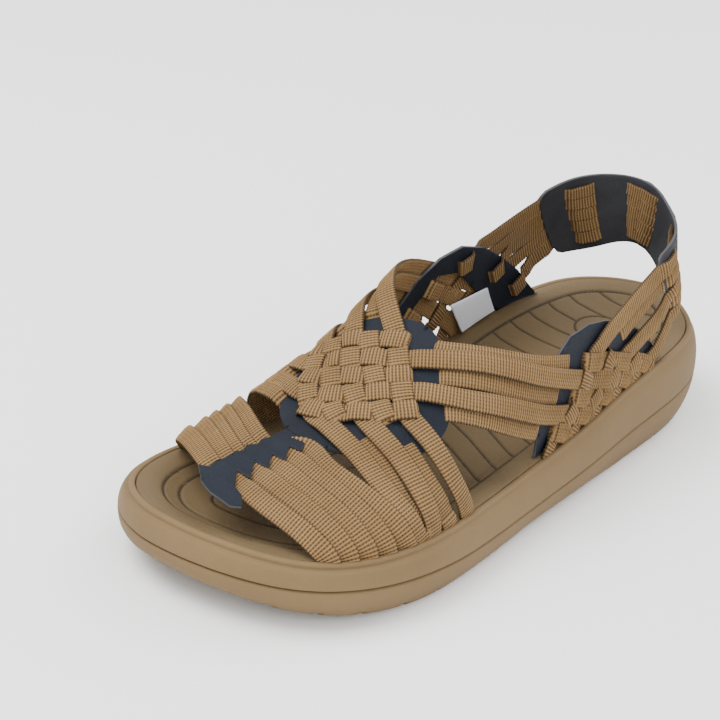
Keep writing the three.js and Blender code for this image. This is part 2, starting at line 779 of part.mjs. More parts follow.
const straps = [...toeStraps, ...rearOuter, ...rearInner, ...heelStraps];

// Zones of the rim where straps go in, as shares along the sole
const ZONES = [
  { side: 1, from: 0.937, to: 0.662, front: true },
  { side: 1, from: 0.52, to: 0.203, front: false },
  { side: -1, from: 0.857, to: 0.594, front: true },
  { side: -1, from: 0.526, to: 0.19, front: false },
];
const ZONE_STEPS = 8;

function rimWall(zone, halfThickness, low, high) {
  const rings = [];
  for (let i = 0; i <= ZONE_STEPS; i += 1) {
    const along = zone.from + ((zone.to - zone.from) * i) / ZONE_STEPS;
    const place = onRim(along, zone.side, 0);
    const normal = lastNormal(onRim(along, zone.side, 1));
    const rim = rimHeight(along);
    const corner = (lift, height) => place.clone()
      .addScaledVector(normal, lift)
      .setZ(rim + height);
    rings.push([
      corner(halfThickness, high), corner(-halfThickness, high),
      corner(-halfThickness, low), corner(halfThickness, low),
    ]);
  }
  return loft(rings);
}

// The front straps never cross, so a tape in the slot joins their ends to the others.
const TAPE_LOW = -STRAP_TUCK + 0.8;
const tapes = ZONES.filter((zone) => zone.front).map((zone) => {
  return rimWall(zone, TAPE_THICKNESS / 2, TAPE_LOW, TAPE_LOW + TAPE_HEIGHT);
});

// Specks and pockets that grazing edges leave behind are not part of the piece.
function mainBody(solid) {
  return solid.decompose().reduce((best, body) => (body.volume() > best.volume() ? body : best));
}
const upper = mainBody(Manifold.union([...straps.map((line) => strapSolid(line, 0)), ...tapes]));

// Leather, cut free of the webbing that passes through it
const webbingRoom = Manifold.union(straps.map((line) => strapSolid(line, PIECE_GAP)));

// Places on top of the last, between shares of the half width and shares of the length
const topWindow = ({ left, right, rear, front }) => (u, v) => {
  const across = THREE.MathUtils.lerp(left, right, v);
  return onTop(across * (BALL_WIDTH / 2), toY(THREE.MathUtils.lerp(rear, front, u)));
};

const STRIP_END_DROP = 1.8;
const STRIP_END_ALONG = 0.82;
const STRIP_END_EASE = 0.012;
const STRIP_WINDOW = { left: -0.32, right: 0.22, rear: 0.8, front: 0.96 };
const VAMP_WINDOW = { left: -0.56, right: 0.7, rear: 0.58, front: 0.81 };
const BACKING_WINDOW = { front: 0.53, rear: 0.14 };
const LABEL_WINDOW = { front: 0.39, rear: 0.245, low: 0.01, high: 0.29 };
const stripLevel = (point) => {
  const pastEnd = (STRIP_END_ALONG - toAlong(point.y)) / STRIP_END_EASE;
  return TOE_STRIP_LEVEL - STRIP_END_DROP * ease(pastEnd);
};
const stripSheet = sheet(grid(14, 5, topWindow(STRIP_WINDOW)), stripLevel, LEATHER_THICKNESS);
const HIGH = 200;
const toeStrip = mainBody(stripSheet
  .intersect(prism(TOE_STRIP_OUTLINE.map(aboveCorner), false, FROM_ABOVE, 0, HIGH))
  .subtract(webbingRoom));

const vampGrid = grid(13, 8, topWindow(VAMP_WINDOW));
const vampSheet = sheet(vampGrid, () => BACKING_LEVEL, LEATHER_THICKNESS);
const vampBacking = mainBody(vampSheet
  .intersect(prism(VAMP_OUTLINE.map(aboveCorner), true, FROM_ABOVE, 0, HIGH))
  .subtract(prism(VAMP_OPENING.map(aboveCorner), true, FROM_ABOVE, 0, HIGH))
  .subtract(webbingRoom));

const BACKING_FOOT = 1.0;
const BACKING_REACH = 0.66;
function quarterBacking({ side, outline, opening }) {
  const form = sheet(grid(12, 6, (u, v) => {
    const along = THREE.MathUtils.lerp(BACKING_WINDOW.front, BACKING_WINDOW.rear, u);
    const low = rimHeight(along) + BACKING_FOOT;
    return onSide(toY(along), low + BACKING_REACH * INSTEP_HEIGHT * v, side);
  }), () => BACKING_LEVEL, LEATHER_THICKNESS);
  const from = side > 0 ? 0 : -BALL_WIDTH;
  const to = side > 0 ? BALL_WIDTH : 0;
  return mainBody(form
    .intersect(prism(outline.map(sideCorner), false, FROM_SIDE, from, to))
    .subtract(prism(opening.map(sideCorner), false, FROM_SIDE, from, to))
    .subtract(webbingRoom));
}

const BAND_STEPS = 22;
const bandSheet = sheet(grid(BAND_STEPS, 2, (u, v) => onBand(u, v)), () => 0, LEATHER_THICKNESS);
const heelBand = mainBody(bandSheet.subtract(webbingRoom));

const labelSheet = sheet(grid(6, 4, (u, v) => {
  const along = THREE.MathUtils.lerp(LABEL_WINDOW.front, LABEL_WINDOW.rear, u);
  const up = THREE.MathUtils.lerp(LABEL_WINDOW.low, LABEL_WINDOW.high, v);
  return onSide(toY(along), rimHeight(along) + up * INSTEP_HEIGHT, -1);
}), () => LABEL_LEVEL, LABEL_THICKNESS);
const sizeLabel = labelSheet
  .intersect(prism(LABEL_OUTLINE.map(sideCorner), false, FROM_SIDE, -BALL_WIDTH, 0))
  .subtract(webbingRoom);

// The sole
const RING_STEPS = 22;
function ringStations() {
  const stations = [];
  for (let i = 0; i < 2 * RING_STEPS; i += 1) {
    const outside = i < RING_STEPS;
    const step = outside ? i : 2 * RING_STEPS - 1 - i;
    const along = (1 - Math.cos((Math.PI * (step + 0.5)) / RING_STEPS)) / 2;
    const x = outside ? outerWidth(along) : -innerWidth(along);
    stations.push({ along, x, y: toY(along) });
  }
  return stations;
}
const stations = ringStations();

// A ring round the sole, moved out along the outline's own normal
function ring(offset, height) {
  const count = stations.length;
  return stations.map(({ along, x, y }, i) => {
    const before = stations[(i + count - 1) % count];
    const after = stations[(i + 1) % count];
    const normal = new THREE.Vector2(before.y - after.y, after.x - before.x).normalize();
    return new THREE.Vector3(x + normal.x * offset, y + normal.y * offset, height(along));
  });
}

// A ring drawn in towards the middle line, for the hollow of the footbed
function innerRing(inset, height) {
  const cross = 1 - (2 * inset) / BALL_WIDTH;
  const lengthwise = 1 - (2 * inset) / SOLE_LENGTH;
  return stations.map(({ along, x, y }) => {
    const middle = (outerWidth(along) - innerWidth(along)) / 2;
    return new THREE.Vector3(middle + (x - middle) * cross, y * lengthwise, height(along));
  });
}

const HEEL_BULGE_GAIN = 0.5;
const HEEL_BULGE_END = 0.12;
const bulgeAt = (along) => {
  const towardHeel = ease((HEEL_BULGE_END - along) / HEEL_BULGE_END);
  return SIDE_BULGE * (1 + HEEL_BULGE_GAIN * towardHeel);
};
const mixHeight = (low, high, share) => (along) => low(along) + share * (high(along) - low(along));
const raised = (height, rise) => (along) => height(along) + rise;

function ringOut(share, rise, height) {
  return stations.map((station, i) => {
    return ring(bulgeAt(station.along) * share + rise, height)[i];
  });
}

const GROOVE_BITE = 0.8;
const TREAD_INSET = 2.3;
const TREAD_ROUND = 0.9;
const outsoleBody = loft([
  ring(-TREAD_INSET, bottomHeight),
  ring(-0.2, raised(bottomHeight, TREAD_ROUND)),
  ringOut(0.6, 0, mixHeight(bottomHeight, grooveHeight, 0.4)),
  ringOut(1, 0, raised(grooveHeight, -PIECE_GAP / 2 - GROOVE_BITE)),
  ringOut(1, -GROOVE_BITE, raised(grooveHeight, -PIECE_GAP / 2)),
]);
const grooveCutters = LUG_GROOVES.map((along) => {
  const deep = bottomHeight(along) + LUG_GROOVE_DEPTH;
  const cutter = new THREE.BoxGeometry(2 * BALL_WIDTH, LUG_GROOVE_WIDTH, 2 * HEEL_HEIGHT);
  cutter.translate(0, toY(along), deep - HEEL_HEIGHT);
  return toManifold(cutter);
});
const outsole = outsoleBody.subtract(Manifold.union(grooveCutters));

const LIP_ROUND = 0.3;
const wallGap = PIECE_GAP / 2;
const midsoleBody = loft([
  ringOut(1, -GROOVE_BITE, raised(grooveHeight, PIECE_GAP / 2)),
  ringOut(1, 0, raised(grooveHeight, PIECE_GAP / 2 + GROOVE_BITE)),
  ringOut(0.85, 0, mixHeight(grooveHeight, rimHeight, 0.45)),
  ringOut(0.4, 0, mixHeight(grooveHeight, rimHeight, 0.8)),
  ring(0, raised(rimHeight, -LIP_ROUND)),
  ring(-LIP_ROUND, rimHeight),
  ring(-SLOT_INSET + wallGap, rimHeight),
  ring(-SLOT_INSET + wallGap, raised(rimHeight, -TRAY_DEPTH)),
]);
const slots = Manifold.union(ZONES.map((zone) => {
  return rimWall(zone, SLOT_HALF, -SLOT_DEPTH, HEEL_HEIGHT / 4);
}));
const midsole = midsoleBody.subtract(slots);

const HOLLOW_START = 7;
const HOLLOW_MIDDLE = 15;
const HOLLOW_FLOOR = 27;
const hollowAt = (along) => FOOTBED_HOLLOW * (0.75 + 0.25 * ease((0.5 - along) / 0.3));
const sunk = (share) => (along) => rimHeight(along) - share * hollowAt(along);
const footbed = loft([
  ring(-SLOT_INSET - wallGap, raised(rimHeight, -FOOTBED_DEPTH)),
  ring(-SLOT_INSET - wallGap, rimHeight),
  innerRing(HOLLOW_START, sunk(0.12)),
  innerRing(HOLLOW_MIDDLE, sunk(0.75)),
  innerRing(HOLLOW_FLOOR, sunk(1)),
]).subtract(slots);

// The finished nodes
function toGeometry(solid) {
  const mesh = solid.getMesh();
  const geometry = new THREE.BufferGeometry();
  const positions = [];
  for (let i = 0; i < mesh.numVert; i += 1) {
    positions.push(...mesh.vertProperties.slice(i * mesh.numProp, i * mesh.numProp + 3));
  }
  geometry.setAttribute('position', new THREE.Float32BufferAttribute(positions, 3));
  geometry.setIndex([...mesh.triVerts]);
  geometry.computeVertexNormals();
  return geometry;
}

const soleFinish = new THREE.MeshStandardMaterial({ color: 0x8f7653, roughness: 0.85 });
const footbedFinish = new THREE.MeshStandardMaterial({ color: 0x7a6344, roughness: 0.8 });
const webbingFinish = new THREE.MeshStandardMaterial({ color: 0x8b6a3e, roughness: 0.9 });
const leatherFinish = new THREE.MeshStandardMaterial({ color: 0x2a2e38, roughness: 0.6 });
const labelFinish = new THREE.MeshStandardMaterial({ color: 0xd8dbe2, roughness: 0.7 });

const pieces = [
  ['outsole', outsole, soleFinish],
  ['midsole', midsole, soleFinish],
  ['footbed', footbed, footbedFinish],
  ['upper', upper, webbingFinish],
  ['toe_strip', toeStrip, leatherFinish],
  ['vamp_backing', vampBacking, leatherFinish],
  ...QUARTERS.map((quarter) => [quarter.name, quarterBacking(quarter), leatherFinish]),
  ['heel_band', heelBand, leatherFinish],
  ['size_label', sizeLabel, labelFinish],
];

const sandal = new THREE.Group();
pieces.forEach(([name, solid, finish]) => {
  const node = new THREE.Mesh(toGeometry(solid), finish);
  node.name = name;
  sandal.add(node);
});

// The origin is on the floor under the middle of the whole sandal.
const extent = new THREE.Box3().setFromObject(sandal);
const middle = extent.getCenter(new THREE.Vector3());
sandal.children.forEach((node) => node.position.set(-middle.x, -middle.y, -extent.min.z));

export default sandal;
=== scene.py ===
# %% [markdown]
# # A woven huarache sandal
#
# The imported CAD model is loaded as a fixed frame. It holds the true sizes, and every
# visible piece is then made again with finer curves, in the same places. All shaping
# below is worked out in millimetres, with the toe at -Y and the outer side at +X, and
# turned to metres at the end.

# %% Load the frame
import math

import bmesh
import bpy
import numpy as np
from mathutils import Matrix


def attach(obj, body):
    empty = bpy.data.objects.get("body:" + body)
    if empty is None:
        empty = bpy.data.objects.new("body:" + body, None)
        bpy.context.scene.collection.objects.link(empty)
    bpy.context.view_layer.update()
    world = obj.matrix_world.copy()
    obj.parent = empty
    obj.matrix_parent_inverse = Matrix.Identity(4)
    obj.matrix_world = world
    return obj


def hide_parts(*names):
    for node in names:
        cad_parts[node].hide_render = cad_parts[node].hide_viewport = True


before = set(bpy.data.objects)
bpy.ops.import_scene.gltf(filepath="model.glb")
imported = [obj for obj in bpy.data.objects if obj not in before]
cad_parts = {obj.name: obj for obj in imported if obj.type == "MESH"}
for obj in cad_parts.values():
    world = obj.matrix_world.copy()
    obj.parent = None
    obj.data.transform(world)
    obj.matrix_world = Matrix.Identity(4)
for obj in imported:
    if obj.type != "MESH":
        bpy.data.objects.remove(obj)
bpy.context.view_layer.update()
print("CAD nodes:", sorted(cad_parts))

# %% [markdown]
# The camera comes first. Its place was worked out from the sole's outline in the
# photograph: it looks down at 26 degrees from the outer side of the toe, and is rolled
# by 6 degrees because the shoe in the photograph stands on a slant.

# %% Camera
CENTRE_SHIFT = np.array([-1.2248535, -0.8212585, 0.0])
VIEW_TARGET = np.array([-28.735, -20.901, 43.142]) + CENTRE_SHIFT
VIEW_DISTANCE = 826.27
VIEW_AZIMUTH = math.radians(37.402)
VIEW_ELEVATION = math.radians(26.055)
VIEW_ROLL = math.radians(6.0435)
FOCAL_SHARE = 2198.08 / 720


def camera_axes():
    azimuth, elevation = VIEW_AZIMUTH, VIEW_ELEVATION
    back = np.array([
        math.sin(azimuth) * math.cos(elevation),
        -math.cos(azimuth) * math.cos(elevation),
        math.sin(elevation),
    ])
    level = np.array([math.cos(azimuth), math.sin(azimuth), 0.0])
    upright = np.cross(back, level)
    right = level * math.cos(VIEW_ROLL) + upright * math.sin(VIEW_ROLL)
    up = upright * math.cos(VIEW_ROLL) - level * math.sin(VIEW_ROLL)
    return right, up, back


def posed(side, rise, back, spot):
    """A matrix with these three axes and this place."""
    rows = np.stack([side, rise, back, spot], 1)
    return Matrix([*rows.tolist(), [0, 0, 0, 1]])


lens = bpy.data.cameras.new("camera")
lens.sensor_width = 36
lens.lens = 36 * FOCAL_SHARE
lens.clip_end = 20
camera = bpy.data.objects.new("camera", lens)
bpy.context.scene.collection.objects.link(camera)
right, up, back = camera_axes()
place = (VIEW_TARGET + back * VIEW_DISTANCE) / 1000
camera.matrix_world = posed(right, up, back, place)
bpy.context.scene.camera = camera
print("camera at", place.round(3), "lens", round(lens.lens, 1))

# %% [markdown]
# The sole and the foot form (the last) are the two shapes that everything follows. Both
# come from short tables of shares, read between by smooth curves, as in the CAD model.

# %% Named sizes and tables
SOLE_LENGTH = 283
BALL_WIDTH = 104
HEEL_HEIGHT = 38
SIDE_BULGE = 3.4
INSTEP_HEIGHT = 74
HEEL_LEAN = 18
SLOT_INSET = 2.4
FOOTBED_HOLLOW = 4.5

SOLE_COLUMNS = ["along", "outer", "inner", "rim", "groove", "bottom"]
SOLE_ROWS = [
    [0.0, 0.0, 0.0, 1.0, 0.474, 0.105],
    [0.03, 0.187, 0.197, 0.989, 0.474, 0.058],
    [0.08, 0.308, 0.303, 0.974, 0.463, 0.016],
    [0.14, 0.363, 0.347, 0.95, 0.45, 0.0],
    [0.3, 0.41, 0.364, 0.855, 0.397, 0.0],
    [0.4, 0.438, 0.349, 0.758, 0.353, 0.03],
    [0.52, 0.464, 0.346, 0.679, 0.316, 0.03],
    [0.62, 0.49, 0.38, 0.647, 0.305, 0.0],
    [0.73, 0.514, 0.448, 0.632, 0.326, 0.0],
    [0.76, 0.514, 0.465, 0.629, 0.34, 0.004],
    [0.82, 0.496, 0.488, 0.626, 0.366, 0.03],
    [0.89, 0.433, 0.481, 0.642, 0.405, 0.084],
    [0.95, 0.301, 0.409, 0.684, 0.447, 0.163],
    [0.985, 0.12, 0.293, 0.737, 0.484, 0.232],
    [1.0, -0.133, 0.133, 0.763, 0.497, 0.268],
]
LAST_COLUMNS = ["along", "ridge", "height", "power"]
LAST_ROWS = [
    [0.0, 0.03, 1.486, 1.6],
    [0.33, 0.0, 1.486, 1.6],
    [0.42, -0.038, 1.297, 1.9],
    [0.5, -0.096, 0.98, 2.15],
    [0.56, -0.096, 0.828, 2.2],
    [0.6, -0.087, 0.743, 2.2],
    [0.65, -0.077, 0.615, 2.2],
    [0.7, -0.067, 0.507, 2.2],
    [0.75, -0.058, 0.399, 2.2],
    [0.8, -0.058, 0.304, 2.2],
    [0.85, -0.067, 0.243, 2.2],
    [0.906, -0.087, 0.196, 2.2],
    [0.95, -0.096, 0.155, 2.2],
    [1.0, -0.115, 0.108, 2.2],
]


# %% Curves through a table's columns
def column(names, rows, name):
    return np.array([row[names.index(name)] for row in rows], float)


def smooth_curve(places, values):
    """A natural cubic spline through the values."""
    count = len(places)
    steps = np.diff(places)
    system = np.eye(count)
    load = np.zeros(count)
    for i in range(1, count - 1):
        system[i, i - 1:i + 2] = steps[i - 1], 2 * (steps[i - 1] + steps[i]), steps[i]
        rise = (values[i + 1] - values[i]) / steps[i]
        load[i] = 6 * (rise - (values[i] - values[i - 1]) / steps[i - 1])
    bend = np.linalg.solve(system, load)

    def read(value):
        value = np.asarray(value, float)
        i = np.clip(np.searchsorted(places, value) - 1, 0, count - 2)
        a = (places[i + 1] - value) / steps[i]
        b = 1 - a
        sag = ((a ** 3 - a) * bend[i] + (b ** 3 - b) * bend[i + 1]) * steps[i] ** 2 / 6
        return a * values[i] + b * values[i + 1] + sag

    return read


def steady_curve(places, values):
    """A cubic that never overshoots the values that it passes through."""
    count = len(places)
    rise = np.diff(values) / np.diff(places)
    slopes = np.zeros(count)
    for i in range(1, count - 1):
        product = rise[i - 1] * rise[i]
        if product > 0:
            slopes[i] = 2 * product / (rise[i - 1] + rise[i])

    def read(value):
        value = np.asarray(value, float)
        i = np.clip(np.searchsorted(places, value) - 1, 0, count - 2)
        step = places[i + 1] - places[i]
        t = np.clip((value - places[i]) / step, 0, 1)
        share = t * t * (3 - 2 * t)
        lead = t * (1 - t) ** 2 * slopes[i] - t * t * (1 - t) * slopes[i + 1]
        return values[i] * (1 - share) + values[i + 1] * share + lead * step

    return read


def turn_of(along):
    return np.arccos(1 - 2 * np.clip(along, 0, 1))


def ease(value):
    t = np.clip(value, 0, 1)
    return t * t * (3 - 2 * t)


SOLE_TURNS = turn_of(column(SOLE_COLUMNS, SOLE_ROWS, "along"))
SOLE_CURVES = {
    name: smooth_curve(SOLE_TURNS, column(SOLE_COLUMNS, SOLE_ROWS, name))
    for name in ("outer", "inner", "rim", "groove")
}
SOLE_CURVES["bottom"] = steady_curve(SOLE_TURNS, column(SOLE_COLUMNS, SOLE_ROWS, "bottom"))
LAST_PLACES = column(LAST_COLUMNS, LAST_ROWS, "along")
LAST_CURVES = {
    name: steady_curve(LAST_PLACES, column(LAST_COLUMNS, LAST_ROWS, name))
    for name in ("ridge", "height", "power")
}


def sole_width(name, along):
    return BALL_WIDTH * SOLE_CURVES[name](turn_of(along))


def sole_height(name, along):
    return HEEL_HEIGHT * SOLE_CURVES[name](turn_of(along))


def to_y(along):
    return SOLE_LENGTH * (0.5 - np.asarray(along, float))


def to_along(y):
    return 0.5 - np.asarray(y, float) / SOLE_LENGTH


rims = sole_height("rim", np.array([0.05, 0.5, 0.8]))
print("rim height at heel, waist and ball:", rims.round(1))

# %% [markdown]
# The last is the foot-shaped block that a shoe is pulled over. Here it is a field: a
# number that is negative inside the foot and zero on its skin. A point near the skin is
# seated by walking down the field's slope, and the slope also gives the direction that
# points straight out, so straps and leather can be laid at a chosen level above it.

# %% The last as a field
HEEL_START = 0.24
HEEL_END = 0.058
HEEL_RISE = 0.12
PROBE = 0.05


def last_field(points):
    x, y, z = points[..., 0], points[..., 1], points[..., 2]
    along = to_along(y)
    rim = sole_height("rim", along)
    rise = np.maximum(0, z - rim)
    toward_heel = ease((HEEL_START - along) / (HEEL_START - HEEL_END))
    shifted = to_along(y + (HEEL_LEAN + HEEL_RISE * (z - rim)) * toward_heel)
    ridge = BALL_WIDTH * LAST_CURVES["ridge"](shifted)
    outside = x > ridge
    size = np.abs(shifted)
    half = np.where(outside, sole_width("outer", size), sole_width("inner", size))
    inset = SLOT_INSET * np.minimum(1, np.abs(half) / (SLOT_INSET * 8))
    reach = half - inset + np.where(outside, -ridge, ridge)
    power = LAST_CURVES["power"](along)
    left = 1 - (rise / (INSTEP_HEIGHT * LAST_CURVES["height"](along))) ** power
    scale = np.sign(left) * np.abs(left) ** (2 / power)
    return (x - ridge) ** 2 - np.sign(shifted) * reach * np.abs(reach) * scale


def last_slope(points):
    slope = np.zeros_like(points)
    for axis in range(3):
        nudge = np.zeros(3)
        nudge[axis] = PROBE
        change = last_field(points + nudge) - last_field(points - nudge)
        slope[..., axis] = change / (2 * PROBE)
    return slope


def unit(vectors):
    return vectors / np.maximum(1e-9, np.linalg.norm(vectors, axis=-1, keepdims=True))


def last_normal(points):
    return unit(last_slope(points))


def seat(points, rounds=10, stride=6.0):
    points = np.array(points, float)
    for _ in range(rounds):
        slope = last_slope(points)
        square = np.maximum(1e-6, (slope ** 2).sum(-1))
        move = slope * (last_field(points) / square)[..., None]
        size = np.maximum(1e-9, np.linalg.norm(move, axis=-1, keepdims=True))
        points = points - move * np.minimum(1, stride / size)
    return points


def cast(origins, directions, reach=150.0, step=3.0):
    """The first place where lines from inside the last come out of it."""
    origins = np.asarray(origins, float)
    directions = np.asarray(directions, float)
    near = np.zeros(origins.shape[:-1])
    going = np.ones(origins.shape[:-1], bool)
    for distance in np.arange(step, reach, step):
        inside = last_field(origins + directions * distance) < 0
        going &= inside
        near = np.where(going, distance, near)
    far = near + step
    for _ in range(26):
        middle = (near + far) / 2
        inside = last_field(origins + directions * middle[..., None]) < 0
        near = np.where(inside, middle, near)
        far = np.where(inside, far, middle)
    return origins + directions * near[..., None]


def on_last(along, around):
    turn = math.radians(around)
    rim = float(sole_height("rim", along))
    ridge = BALL_WIDTH * float(LAST_CURVES["ridge"](along))
    origin = np.array([ridge, float(to_y(along)), rim])
    return cast(origin, np.array([math.cos(turn), 0, math.sin(turn)]))


def on_top(x, y):
    origins = np.stack([x, y, sole_height("rim", to_along(y))], -1)
    return cast(origins, np.broadcast_to([0.0, 0.0, 1.0], origins.shape))


def on_side(y, z, side):
    origins = np.stack([np.zeros_like(y), y, z], -1)
    return cast(origins, np.broadcast_to([float(side), 0.0, 0.0], origins.shape))


def on_rim(along, side, drop):
    y = to_y(along)
    return on_side(y, sole_height("rim", along) - drop, side)


print("top of the instep:", on_last(0.6, 90).round(1))

# %% [markdown]
# Most pieces here are closed skins drawn through rings, as a loft is. Instead of listing
# faces, each one starts as Blender's UV sphere with as many rows as there are rings,
# because a sphere is already closed, and every vertex is then moved to its own place. The
# two poles close the ends. A folded skin has its first and last rings on a middle line
# instead, where the two sides are merged.

# %% A closed skin through rings
def link_mesh(name, bm, material):
    mesh = bpy.data.meshes.new(name)
    bm.to_mesh(mesh)
    bm.free()
    mesh.shade_smooth()
    piece = bpy.data.objects.new(name, mesh)
    bpy.context.scene.collection.objects.link(piece)
    mesh.materials.append(material)
    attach(piece, "root")
    return piece


def to_metres(points):
    return (np.asarray(points, float) + CENTRE_SHIFT) / 1000


def place_vertices(bm, points, lay):
    """Puts the vertices at points in mm, and keeps three numbers with each one."""
    layer = bm.verts.layers.float_vector.new("lay")
    for vertex, co, values in zip(bm.verts, to_metres(points), lay):
        vertex.co = co
        vertex[layer] = values


def face_outwards(bm):
    bmesh.ops.recalc_face_normals(bm, faces=bm.faces)
    if bm.calc_volume(signed=True) < 0:
        bmesh.ops.reverse_faces(bm, faces=bm.faces)


def skin(rings, lay=None, folded=False):
    """A closed skin through rings, an array of ring, place and x, y, z in mm."""
    count, around = rings.shape[:2]
    bm = bmesh.new()
    bmesh.ops.create_uvsphere(bm, u_segments=around, v_segments=count + 1, radius=1)
    ball = np.array([v.co[:] for v in bm.verts])
    fall = np.arccos(np.clip(ball[:, 2], -1, 1))
    turn = np.arctan2(ball[:, 1], ball[:, 0])
    row = np.rint(fall / math.pi * (count + 1)).astype(int)
    spot = np.rint(turn / (2 * math.pi) * around).astype(int) % around
    inner = np.clip(row - 1, 0, count - 1)
    points = rings[inner, spot]
    points[row == 0] = rings[0].mean(0)
    points[row == count + 1] = rings[-1].mean(0)
    values = np.zeros((len(row), 3)) if lay is None else lay[inner, spot]
    place_vertices(bm, points, values)
    if folded:
        poles = [vertex for vertex, at in zip(bm.verts, row) if at in (0, count + 1)]
        bmesh.ops.delete(bm, geom=poles, context="VERTS")
        bmesh.ops.remove_doubles(bm, verts=bm.verts, dist=1e-6)
    face_outwards(bm)
    return bm


# %% [markdown]
# Shader maths is written as Python expressions. The small class below wraps one socket
# of a node, and its operators add Math nodes, so that a pattern reads like a formula.

# %% A socket that does maths
class Wire:
    """One number, colour or vector on its way through a material."""

    def __init__(self, tree, socket):
        self.tree = tree
        self.socket = socket

    def node(self, kind, settings=None, **inputs):
        made = self.tree.nodes.new(kind)
        for name, value in (settings or {}).items():
            if name == "stops":
                ramp = made.color_ramp
                while len(ramp.elements) < len(value):
                    ramp.elements.new(0.5)
                for element, (position, colour) in zip(ramp.elements, value):
                    element.position = position
                    element.color = (*colour, 1)
            else:
                setattr(made, name, value)
        for name, value in inputs.items():
            numbered = name[0] == "i" and name[1:].isdigit()
            key = int(name[1:]) if numbered else name.replace("_", " ")
            target = made.inputs[key]
            if isinstance(value, Wire):
                self.tree.links.new(value.socket, target)
            else:
                target.default_value = value
        return made

    def maths(self, operation, *values):
        sockets = {f"i{place}": value for place, value in enumerate(values)}
        made = self.node("ShaderNodeMath", {"operation": operation}, **sockets)
        return Wire(self.tree, made.outputs[0])

    def __add__(self, other):
        return self.maths("ADD", self, other)

    def __radd__(self, other):
        return self.maths("ADD", other, self)

    def __sub__(self, other):
        return self.maths("SUBTRACT", self, other)

    def __rsub__(self, other):
        return self.maths("SUBTRACT", other, self)

    def __mul__(self, other):
        return self.maths("MULTIPLY", self, other)

    def __rmul__(self, other):
        return self.maths("MULTIPLY", other, self)

    def sine(self):
        return self.maths("SINE", self)

    def clamped(self):
        made = self.node("ShaderNodeClamp", None, Value=self)
        return Wire(self.tree, made.outputs[0])

    def power(self, exponent):
        return self.maths("POWER", self, exponent)

    def part(self, axis):
        made = self.node("ShaderNodeSeparateXYZ", None, Vector=self)
        return Wire(self.tree, made.outputs[axis])

    def noise(self, scale, detail=3.0, roughness=0.55):
        made = self.node(
            "ShaderNodeTexNoise", None, Vector=self, Scale=scale, Detail=detail, Roughness=roughness,
        )
        return Wire(self.tree, made.outputs[0])

    def tint(self, *stops):
        made = self.node("ShaderNodeValToRGB", {"stops": stops}, Fac=self)
        return Wire(self.tree, made.outputs[0])

    def mix(self, low, high):
        """Low where this value is 0 and high where it is 1, for colours."""
        made = self.node("ShaderNodeMix", {"data_type": "RGBA"})
        for place, value in ((0, self), (6, low), (7, high)):
            if isinstance(value, Wire):
                self.tree.links.new(value.socket, made.inputs[place])
            else:
                made.inputs[place].default_value = (*value, 1)
        return Wire(self.tree, made.outputs[2])

    def times(self, other):
        """This colour multiplied by another one, part by part."""
        made = self.node("ShaderNodeMix", {"data_type": "RGBA", "blend_type": "MULTIPLY"})
        made.inputs[0].default_value = 1
        self.tree.links.new(self.socket, made.inputs[6])
        self.tree.links.new(other.socket, made.inputs[7])
        return Wire(self.tree, made.outputs[2])


def new_finish(name, **constants):
    """A material, its shader, and wires for Object coordinates and the lay attribute."""
    material = bpy.data.materials.new(name)
    material.use_nodes = True
    tree = material.node_tree
    shader = next(node for node in tree.nodes if node.type == "BSDF_PRINCIPLED")
    for socket, value in constants.items():
        shader.inputs[socket.replace("_", " ")].default_value = value
    place = tree.nodes.new("ShaderNodeTexCoord")
    lay = tree.nodes.new("ShaderNodeAttribute")
    lay.attribute_name = "lay"
    return material, shader, Wire(tree, place.outputs["Object"]), Wire(tree, lay.outputs["Vector"])


def feed(shader, socket, wire):
    wire.tree.links.new(wire.socket, shader.inputs[socket])


def feed_bump(shader, height, distance, strength):
    bump = height.node(
        "ShaderNodeBump", None, Height=height, Distance=distance, Strength=strength,
    )
    height.tree.links.new(bump.outputs[0], shader.inputs["Normal"])


# %% [markdown]
# ## Finishes
#
# The webbing is a flat woven band of tan yarn. Its weft makes ribs across the band, and
# these are real waves of the mesh. The material paints shade into the hollows between
# them and into the small gaps where the warp dives, paints a shadow along the rolled
# edges, and paints a highlight on the rib crests. The lay attribute holds the place on
# the band in millimetres, x along and y across, so the pattern follows each strap round
# every bend, and its third part is the share of the half width.

# %% Webbing finish
RIB_PITCH = 1.25
WARP_PITCH = 1.3
# Where the painted shadow along the strap edges starts, and how wide it is, as shares of the half
# width.
EDGE_SHADOW_START = 0.86
EDGE_SHADOW_WIDTH = 1 / 9


